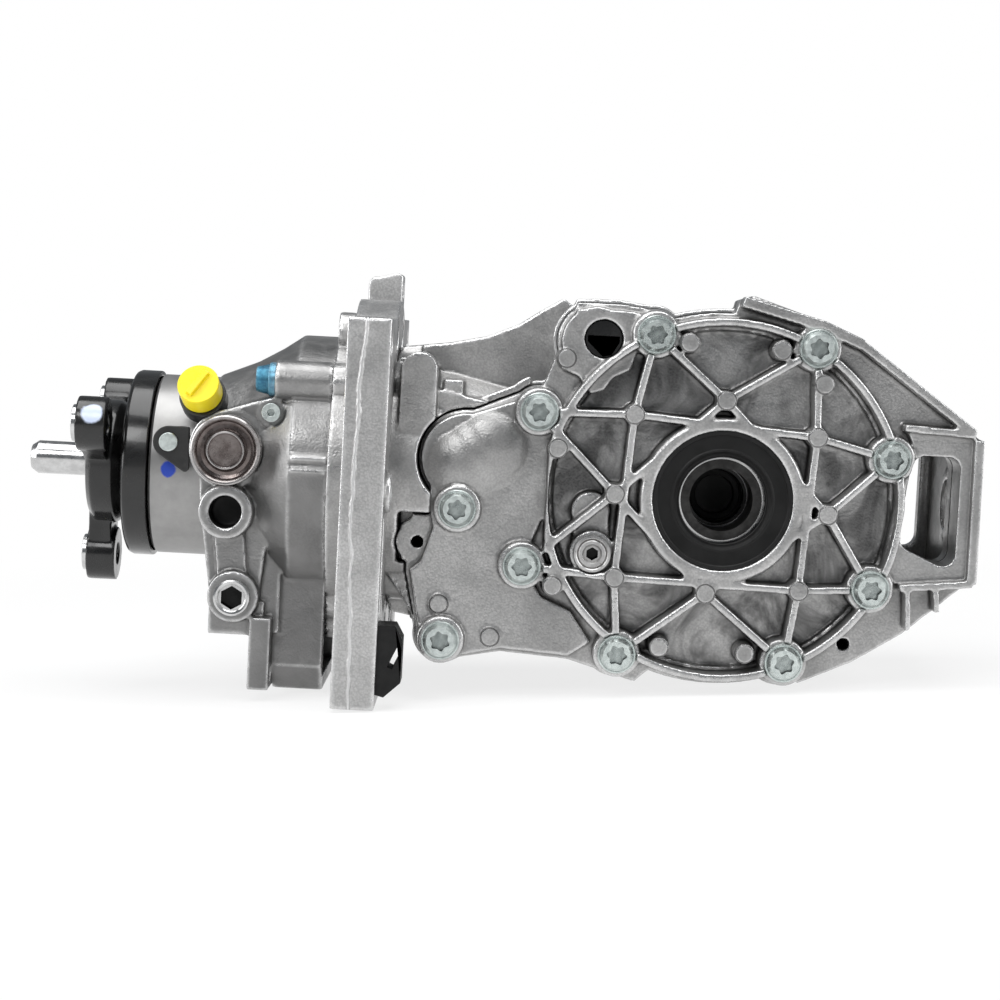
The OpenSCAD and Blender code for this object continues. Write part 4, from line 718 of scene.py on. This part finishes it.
lathePiece("pumpPlug", "housing", "groundSteel", {
    "spot": (77.7, -57.5), "node": "pump_plug", "slot": "plain_steel",
    "hex": (5.6, -60.6, 4), "dark": (5.7, -60), "profile": [
        (0, -45.2), (5.7, -45.2), (5.7, -57), (8.65, -57), (8.65, -60.2), (8.3, -60.75), (7.6, -61), (6.7, -60.9),
        (6.2, -60.5), (0, -60.5)]})
lathePiece("nearSeal", "housing", "sealRubber", {
    "spot": (303.5, 0), "node": "output_seal_near", "slot": "seal_rubber", "loop": True, "profile": [
        (32.45, -58.6), (32.45, -65.1), (32.1, -65.45), (30.6, -65.45), (30.1, -64.9), (29.5, -64.85), (24.2, -64.7),
        (23.6, -65.0), (22.9, -65.0), (22.4, -64.4), (21.6, -63.6), (20.9, -63.5), (20.5, -63.8), (20.15, -63.6),
        (20.05, -62.9), (20.4, -62.2), (20.05, -61.4), (20.05, -60.4), (22.2, -62.2), (30.4, -62.4),
        (30.4, -58.6)]})
for side, body in ((-1, "output_near"), (1, "output_far")):
    # cup at the inner end of each side gear's bore, coloured near-black as painted shade deep in the bore
    name = "boreShadeCapNear" if side < 0 else "boreShadeCapFar"
    lathePiece(name, body, "boreBlack", {"spot": (303.5, 0), "slot": "plain_steel", "profile": [
        (0, side * 11.9), (12.4, side * 11.9), (12.9, side * 12.6), (12.9, side * 21.5), (12.4, side * 21.9),
        (11.9, side * 21.5), (11.7, side * 18.6), (9.6, side * 17.8), (9.2, side * 17.2), (9.0, side * 13.1),
        (0, side * 12.9)]})

# Machined and moulded pieces

finePieces = [  # piece, node, body, material, slot, width of the broken edge in metres
    ("frontNose", "front_nose", "housing", "noseTurned", "machined_aluminium", 0.0005),
    ("dustShield", "dust_shield", "input", "blackGloss", "black_paint", 0.0006),
    ("pilotPin", "pilot_pin", "input", "groundSteel", "plain_steel", 0.0004),
    ("flangeCollars", "flange_collars", "input", "groundSteel", "plain_steel", 0.0004),
    ("motorScrew", "motor_screw", "housing", "zincBolt", "zinc_steel", 0.0004),
    ("bracketScrew", "bracket_screw", "housing", "zincBolt", "zinc_steel", 0.0004),
    ("connectorCap", "connector_cap", "housing", "yellowCap", "yellow_plastic", 0.0006),
    ("connectorSocket", "connector_socket", "housing", "blackPlastic", "black_plastic", 0.0005),
    ("ventPlug", "vent_plug", "housing", "blackGloss", "black_plug", 0.0005),
    ("farSeal", "output_seal_far", "housing", "sealRubber", "seal_rubber", 0.0004),
    ("frameDamper", "frame_damper", "housing", "sealRubber", "damper_rubber", 0.0012),
]
lugForms = [("slab", -50, -46.45, [(43.9, 13.2, 7.5), (51.6, 18.8, 1.9), (51.9, 1.2, 1.9)])]
castPiece("motorBracket", "motor_bracket", "housing", "blackPlastic",
          dict(casting, voxel=0.0004, smooth=4, triangles=40000, forms=lugForms, slot="black_plastic"))
for row in finePieces:
    bevelPiece(*row)
print("machined pieces done")

# Bolts with a wide low flange head and a star recess


boltShape = {  # corners, and shares of the sizes that each bolt set gives
    "headCorners": 84, "rimWall": 0.78, "rimTop": 0.955, "crownFoot": 0.94, "crownWall": 0.82, "crownTop": 0.84,
    "crownEdge": 0.94, "step": 0.00002, "starPoints": 6, "starInner": 0.7, "starSoft": 0.17, "softSteps": 5,
    "cutDepth": 2.0, "shankCorners": 40, "turnSeed": 7}


def makeBoltTree(shape):
    tree = bpy.data.node_groups.new("flangeBolts", "GeometryNodeTree")
    face = tree.interface
    face.new_socket("Geometry", in_out="INPUT", socket_type="NodeSocketGeometry")
    for label, value in (("Flange Radius", 0.009), ("Rim Height", 0.0026), ("Head Height", 0.006),
                         ("Recess Radius", 0.0048), ("Recess Depth", 0.003), ("Shank Radius", 0.004),
                         ("Shank Length", 0.03)):
        face.new_socket(label, in_out="INPUT", socket_type="NodeSocketFloat").default_value = value
    face.new_socket("Finish", in_out="INPUT", socket_type="NodeSocketMaterial")
    face.new_socket("Geometry", in_out="OUTPUT", socket_type="NodeSocketGeometry")
    t = Tree(tree)
    given = t.node("NodeGroupInput").outputs
    out = t.node("NodeGroupOutput").inputs

    def lifted(mesh, height):
        spot = t.node("ShaderNodeCombineXYZ")
        t.feed(spot.inputs["Z"], height)
        move = t.node("GeometryNodeTransform")
        t.feed(move.inputs["Geometry"], mesh)
        t.feed(move.inputs["Translation"], spot.outputs[0])
        return move.outputs[0]

    def raiseTop(mesh, top, height, shrink=None):
        push = t.node("GeometryNodeExtrudeMesh")
        t.feed(push.inputs["Mesh"], mesh)
        t.feed(push.inputs["Selection"], top)
        t.feed(push.inputs["Offset Scale"], height)
        if shrink is None:
            return push.outputs["Mesh"], push.outputs["Top"]
        narrow = t.node("GeometryNodeScaleElements")
        t.feed(narrow.inputs["Geometry"], push.outputs["Mesh"])
        t.feed(narrow.inputs["Selection"], push.outputs["Top"])
        t.feed(narrow.inputs["Scale"], shrink)
        return narrow.outputs[0], push.outputs["Top"]

    def closedUp(flat, steps):
        base = t.node("GeometryNodeFlipFaces")
        t.feed(base.inputs["Mesh"], flat)
        mesh, top = flat, None
        for height, shrink in steps:
            mesh, top = raiseTop(mesh, top, height, shrink)
        both = t.node("GeometryNodeJoinGeometry")
        t.links.new(base.outputs[0], both.inputs[0])
        t.links.new(mesh, both.inputs[0])
        closed = t.node("GeometryNodeMergeByDistance")
        t.feed(closed.inputs["Geometry"], both.outputs[0])
        closed.inputs["Distance"].default_value = weldDistance / 2
        return closed.outputs[0]

    disc = t.node("GeometryNodeMeshCircle", fill_type="NGON")
    disc.inputs["Vertices"].default_value = shape["headCorners"]
    t.feed(disc.inputs["Radius"], given["Flange Radius"])
    rim = given["Rim Height"]
    crown = t.math("SUBTRACT", given["Head Height"], rim)
    head = closedUp(disc.outputs[0], [
        (t.times(rim, shape["rimWall"]), None),
        (t.times(rim, 1 - shape["rimWall"]), shape["rimTop"]),
        (shape["step"], shape["crownFoot"]),
        (t.times(crown, shape["crownWall"]), shape["crownTop"]),
        (t.times(crown, 1 - shape["crownWall"]), shape["crownEdge"])])
    star = t.node("GeometryNodeCurveStar")
    star.inputs["Points"].default_value = shape["starPoints"]
    t.feed(star.inputs["Outer Radius"], given["Recess Radius"])
    t.feed(star.inputs["Inner Radius"], t.times(given["Recess Radius"], shape["starInner"]))
    softStar = t.node("GeometryNodeFilletCurve", mode="POLY")
    softStar.inputs["Count"].default_value = shape["softSteps"]
    softStar.inputs["Limit Radius"].default_value = True
    t.feed(softStar.inputs["Curve"], star.outputs[0])
    t.feed(softStar.inputs["Radius"], t.times(given["Recess Radius"], shape["starSoft"]))
    fill = t.node("GeometryNodeFillCurve", mode="NGONS")
    t.feed(fill.inputs["Curve"], softStar.outputs[0])
    cutter = closedUp(fill.outputs[0], [(t.times(given["Recess Depth"], shape["cutDepth"]), None)])
    floor = t.math("SUBTRACT", given["Head Height"], given["Recess Depth"])
    cut = t.node("GeometryNodeMeshBoolean", operation="DIFFERENCE")
    t.feed(cut.inputs["Mesh 1"], head)
    t.links.new(lifted(cutter, floor), cut.inputs["Mesh 2"])
    shank = t.node("GeometryNodeMeshCylinder")
    shank.inputs["Vertices"].default_value = shape["shankCorners"]
    t.feed(shank.inputs["Radius"], given["Shank Radius"])
    t.feed(shank.inputs["Depth"], given["Shank Length"])
    whole = t.node("GeometryNodeJoinGeometry")
    t.links.new(cut.outputs[0], whole.inputs[0])
    t.links.new(lifted(shank.outputs["Mesh"], t.times(given["Shank Length"], -0.5)), whole.inputs[0])
    facing = t.node("GeometryNodeInputNamedAttribute", data_type="FLOAT_VECTOR")
    facing.inputs["Name"].default_value = "facing"
    aim = t.node("FunctionNodeAlignRotationToVector", axis="Z")
    t.links.new(facing.outputs["Attribute"], aim.inputs["Vector"])
    turn = t.node("FunctionNodeRandomValue", data_type="FLOAT")
    turn.inputs["Seed"].default_value = shape["turnSeed"]
    spin = t.node("FunctionNodeAxisAngleToRotation")
    spin.inputs["Axis"].default_value = (0, 0, 1)
    t.links.new(turn.outputs[1], spin.inputs["Angle"])
    rotate = t.node("FunctionNodeRotateRotation", rotation_space="LOCAL")
    t.links.new(aim.outputs[0], rotate.inputs[0])
    t.links.new(spin.outputs[0], rotate.inputs[1])
    place = t.node("GeometryNodeInstanceOnPoints")
    t.links.new(given["Geometry"], place.inputs["Points"])
    t.links.new(whole.outputs[0], place.inputs["Instance"])
    t.links.new(rotate.outputs[0], place.inputs["Rotation"])
    real = t.node("GeometryNodeRealizeInstances")
    t.links.new(place.outputs[0], real.inputs[0])
    paint = t.node("GeometryNodeSetMaterial")
    t.links.new(real.outputs[0], paint.inputs["Geometry"])
    t.links.new(given["Finish"], paint.inputs["Material"])
    t.links.new(paint.outputs[0], out[0])
    return tree


boltTree = makeBoltTree(boltShape)


def islandBoxes(node):
    work = bmesh.new()
    work.from_mesh(nodes[node].data)
    bmesh.ops.remove_doubles(work, verts=work.verts, dist=weldDistance)
    seen, boxes = set(), []
    for start in work.verts:
        if start in seen:
            continue
        group, todo = [], [start]
        seen.add(start)
        while todo:
            here = todo.pop()
            group.append(here.co.copy())
            for edge in here.link_edges:
                other = edge.other_vert(here)
                if other not in seen:
                    seen.add(other)
                    todo.append(other)
        low = [min(spot[i] for spot in group) for i in range(3)]
        high = [max(spot[i] for spot in group) for i in range(3)]
        boxes.append((low, high))
    work.free()
    return sorted(boxes)


boltFinish = {"sharp": math.radians(32), "wearAndShade": 0.7, "wallTilt": 0.3, "headFrom": 0.001}


def boltSet(name, node, body, material, look):
    # one bolt where each bolt of the CAD node stands
    axis = 1 if look["facing"][1] else 0
    sign = look["facing"][axis]
    spots = []
    for low, high in islandBoxes(node):
        middle = [(a + b) / 2 for a, b in zip(low, high)]
        middle[axis] = low[axis] + look["seatDepth"] if sign < 0 else high[axis] - look["seatDepth"]
        spots.append(middle)
    mesh = bpy.data.meshes.new(name)
    mesh.from_pydata(spots, [], [])
    facing = mesh.attributes.new("facing", "FLOAT_VECTOR", "POINT")
    facing.data.foreach_set("vector", list(look["facing"]) * len(spots))
    piece = newObject(name, mesh)
    grow = piece.modifiers.new("bolts", "NODES")
    grow.node_group = boltTree
    labels = {item.name: item.identifier for item in boltTree.interface.items_tree if item.in_out == "INPUT"}
    for label, value in look["sizes"].items():
        grow[labels[label]] = value
    grow[labels["Finish"]] = materials[material]
    settle(piece)
    piece.data.shade_smooth()
    piece.data.set_sharp_from_angle(angle=boltFinish["sharp"])
    markWearAndShade(piece, boltFinish["wearAndShade"], 0)
    dress(piece, material)
    piece.data.materials.append(materials[material + "Recess"])
    reach = look["sizes"]["Recess Radius"] * 1.01
    for face in piece.data.polygons:  # walls of the star recess take the near-black copy of the finish as painted shade
        if abs(face.normal[axis]) > boltFinish["wallTilt"]:
            continue
        for spot in spots:
            off = [face.center[i] - spot[i] for i in range(3)]
            level = off[axis] * sign
            off[axis] = 0
            if level > boltFinish["headFrom"] and math.hypot(*off) < reach:
                face.material_index = 1
    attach(piece, body)
    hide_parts(node)
    print("bolt set", name, len(spots))


boltSet("coverBolts", "cover_bolts", "housing", "zincBolt", {
    "facing": (0.0, -1.0, 0.0), "seatDepth": 0.006, "slot": "zinc_steel",
    "sizes": {"Flange Radius": 0.009, "Rim Height": 0.0026, "Head Height": 0.00598, "Recess Radius": 0.0052,
              "Recess Depth": 0.0028, "Shank Radius": 0.004, "Shank Length": 0.036}})
boltSet("couplingBolts", "coupling_bolts", "housing", "blueBolt", {
    "facing": (-1.0, 0.0, 0.0), "seatDepth": 0.009, "slot": "blue_coated_steel",
    "sizes": {"Flange Radius": 0.008, "Rim Height": 0.003, "Head Height": 0.00898, "Recess Radius": 0.0042,
              "Recess Depth": 0.0036, "Shank Radius": 0.004, "Shank Length": 0.03}})
boltSet("frameBolts", "frame_bolts", "housing", "zincBolt", {
    "facing": (1.0, 0.0, 0.0), "seatDepth": 0.0075, "slot": "zinc_steel",
    "sizes": {"Flange Radius": 0.0086, "Rim Height": 0.0028, "Head Height": 0.00748, "Recess Radius": 0.0046,
              "Recess Depth": 0.0036, "Shank Radius": 0.005, "Shank Length": 0.019}})

# Every CAD node that still shows gets its finish

finishes = {
    "sealant": ["cover_sealant"],
    "groundSteel": ["side_cup_near", "side_cup_far", "pinion_head_cup", "pinion_tail_cup", "input_outer_race",
        "dowel_pins", "input_shaft", "input_inner_race", "clutch_drum", "input_balls", "pinion_head_cone",
        "pinion_tail_cone", "pinion_head_rollers", "pinion_tail_rollers", "side_rollers_near", "side_rollers_far",
        "side_cone_near", "side_cone_far"],
    "sealRubber": ["input_seal"],
    "gearSteel": ["drive_plates", "pump_rotor", "drive_pinion", "clutch_hub", "pinion_nut", "ring_gear",
        "spider_gear_upper", "spider_gear_lower"],
    "noseTurned": ["clutch_piston"],
    "lining": ["driven_plates"],
    "zincBolt": ["ring_bolts"],
    "castIronInShade": ["diff_case"],
    "oiledSteel": ["cross_pin", "side_gear_near", "side_gear_far"],
}
for material, names in finishes.items():
    for node in names:
        slots = nodes[node].data.materials
        if not slots:
            slots.append(materials[material])
        for place in range(len(slots)):
            slots[place] = materials[material]
print("finishes set:", len(finishes))


# Studio

studio = {
    "aim": (0.2005, 0.0, -0.0095), "distance": 1.2, "elevation": 4.0, "roll": 3.0, "lens": 88.2, "sensor": 36.0,
    "floorPoint": (0.148, 0.0, -0.1025), "floorRise": 4.2, "floorHalf": 3.0,
    "fadeMiddle": (-0.2, 0, 0), "fadeReach": (0.25, 0.8), "fadeShare": (0.78, 1.0),
    "surround": 0.2, "lampAim": (0.2, 0, 0), "lamps": {
        "topLamp": {"spot": (0.1, -0.25, 1.3), "size": (1.6, 1.0), "power": 19},
        "leftLamp": {"spot": (-1.2, -0.35, 0.45), "size": (0.9, 1.2), "power": 12},
        "rightLamp": {"spot": (1.5, -0.3, 0.5), "size": (0.9, 1.2), "power": 11},
        "frontLamp": {"spot": (-0.35, -1.3, 1.0), "size": (0.7, 0.5), "power": 7},
        "lowLamp": {"spot": (0.3, -0.9, -0.35), "size": (1.0, 0.4), "power": 2.5},
    },
}


def makeCamera():
    data = bpy.data.cameras.new("photoCamera")
    data.lens = studio["lens"]
    data.sensor_width = studio["sensor"]
    data.clip_start = 0.02
    camera = newObject("photoCamera", data)
    rise = math.radians(studio["elevation"])
    turn = math.radians(studio["roll"])
    back = Vector((0, -math.cos(rise), math.sin(rise)))
    across = Vector((0, 0, 1)).cross(back).normalized()
    up = back.cross(across)
    right = across * math.cos(turn) + up * math.sin(turn)
    top = up * math.cos(turn) - across * math.sin(turn)
    spot = Vector(studio["aim"]) + back * studio["distance"]
    camera.matrix_world = Matrix(((right.x, top.x, back.x, spot.x),
                                  (right.y, top.y, back.y, spot.y),
                                  (right.z, top.z, back.z, spot.z),
                                  (0, 0, 0, 1)))
    scene.camera = camera


def makeLamp(name, spot, aim, size, power):
    data = bpy.data.lights.new(name, "AREA")
    data.shape = "RECTANGLE"
    data.size, data.size_y = size
    data.energy = power
    lamp = newObject(name, data)
    lamp.location = spot
    lamp.rotation_euler = (Vector(aim) - Vector(spot)).to_track_quat("-Z", "Y").to_euler()


def makeFloor():
    half, rise = studio["floorHalf"], math.radians(studio["floorRise"])
    along = Vector((math.cos(rise), 0, math.sin(rise)))
    middle = Vector(studio["floorPoint"])
    signs = ((-1, -1), (1, -1), (1, 1), (-1, 1))
    corners = [middle + along * a * half + Vector((0, b * half, 0)) for a, b in signs]
    mesh = bpy.data.meshes.new("studioFloor")
    mesh.from_pydata([tuple(c) for c in corners], [], [(0, 1, 2, 3)])
    floor = newObject("studioFloor", mesh)
    material = bpy.data.materials.new("paleFloor")
    material.use_nodes = True
    material.node_tree.nodes.clear()
    t = Tree(material.node_tree)
    paint = t.node("ShaderNodeBsdfDiffuse")
    paint.inputs["Color"].default_value = (0.86, 0.86, 0.86, 1)
    glow = t.node("ShaderNodeEmission")
    glow.inputs["Color"].default_value = (1, 1, 1, 1)
    rays = t.node("ShaderNodeLightPath")
    seen = t.math("MAXIMUM", t.math("MAXIMUM", rays.outputs["Is Camera Ray"], rays.outputs["Is Glossy Ray"]),
                  rays.outputs["Is Transmission Ray"])
    distance = t.node("ShaderNodeVectorMath", operation="LENGTH")
    t.feed(distance.inputs[0], t.placed(location=studio["fadeMiddle"]))
    fade = t.between(distance.outputs["Value"], *studio["fadeReach"], *studio["fadeShare"])
    mix = t.node("ShaderNodeMixShader")
    t.feed(mix.inputs[0], t.times(fade, seen))
    t.links.new(paint.outputs[0], mix.inputs[1])
    t.links.new(glow.outputs[0], mix.inputs[2])
    t.links.new(mix.outputs[0], t.node("ShaderNodeOutputMaterial").inputs["Surface"])
    mesh.materials.append(material)


def makeWorld():
    world = bpy.data.worlds.new("studioWorld")
    scene.world = world
    world.use_nodes = True
    world.node_tree.nodes.clear()
    t = Tree(world.node_tree)
    rays = t.node("ShaderNodeLightPath")
    seen = t.math("MAXIMUM", rays.outputs["Is Camera Ray"], rays.outputs["Is Transmission Ray"])
    dim = t.node("ShaderNodeBackground")
    dim.inputs["Color"].default_value = (0.9, 0.95, 1, 1)
    dim.inputs["Strength"].default_value = studio["surround"]
    white = t.node("ShaderNodeBackground")
    white.inputs["Color"].default_value = (1, 1, 1, 1)
    mix = t.node("ShaderNodeMixShader")
    t.feed(mix.inputs[0], seen)
    t.links.new(dim.outputs[0], mix.inputs[1])
    t.links.new(white.outputs[0], mix.inputs[2])
    t.links.new(mix.outputs[0], t.node("ShaderNodeOutputWorld").inputs["Surface"])


makeCamera()
makeFloor()
makeWorld()
for name, look in studio["lamps"].items():
    makeLamp(name, look["spot"], studio["lampAim"], look["size"], look["power"])
scene.view_settings.view_transform = "Standard"
print("studio ready")
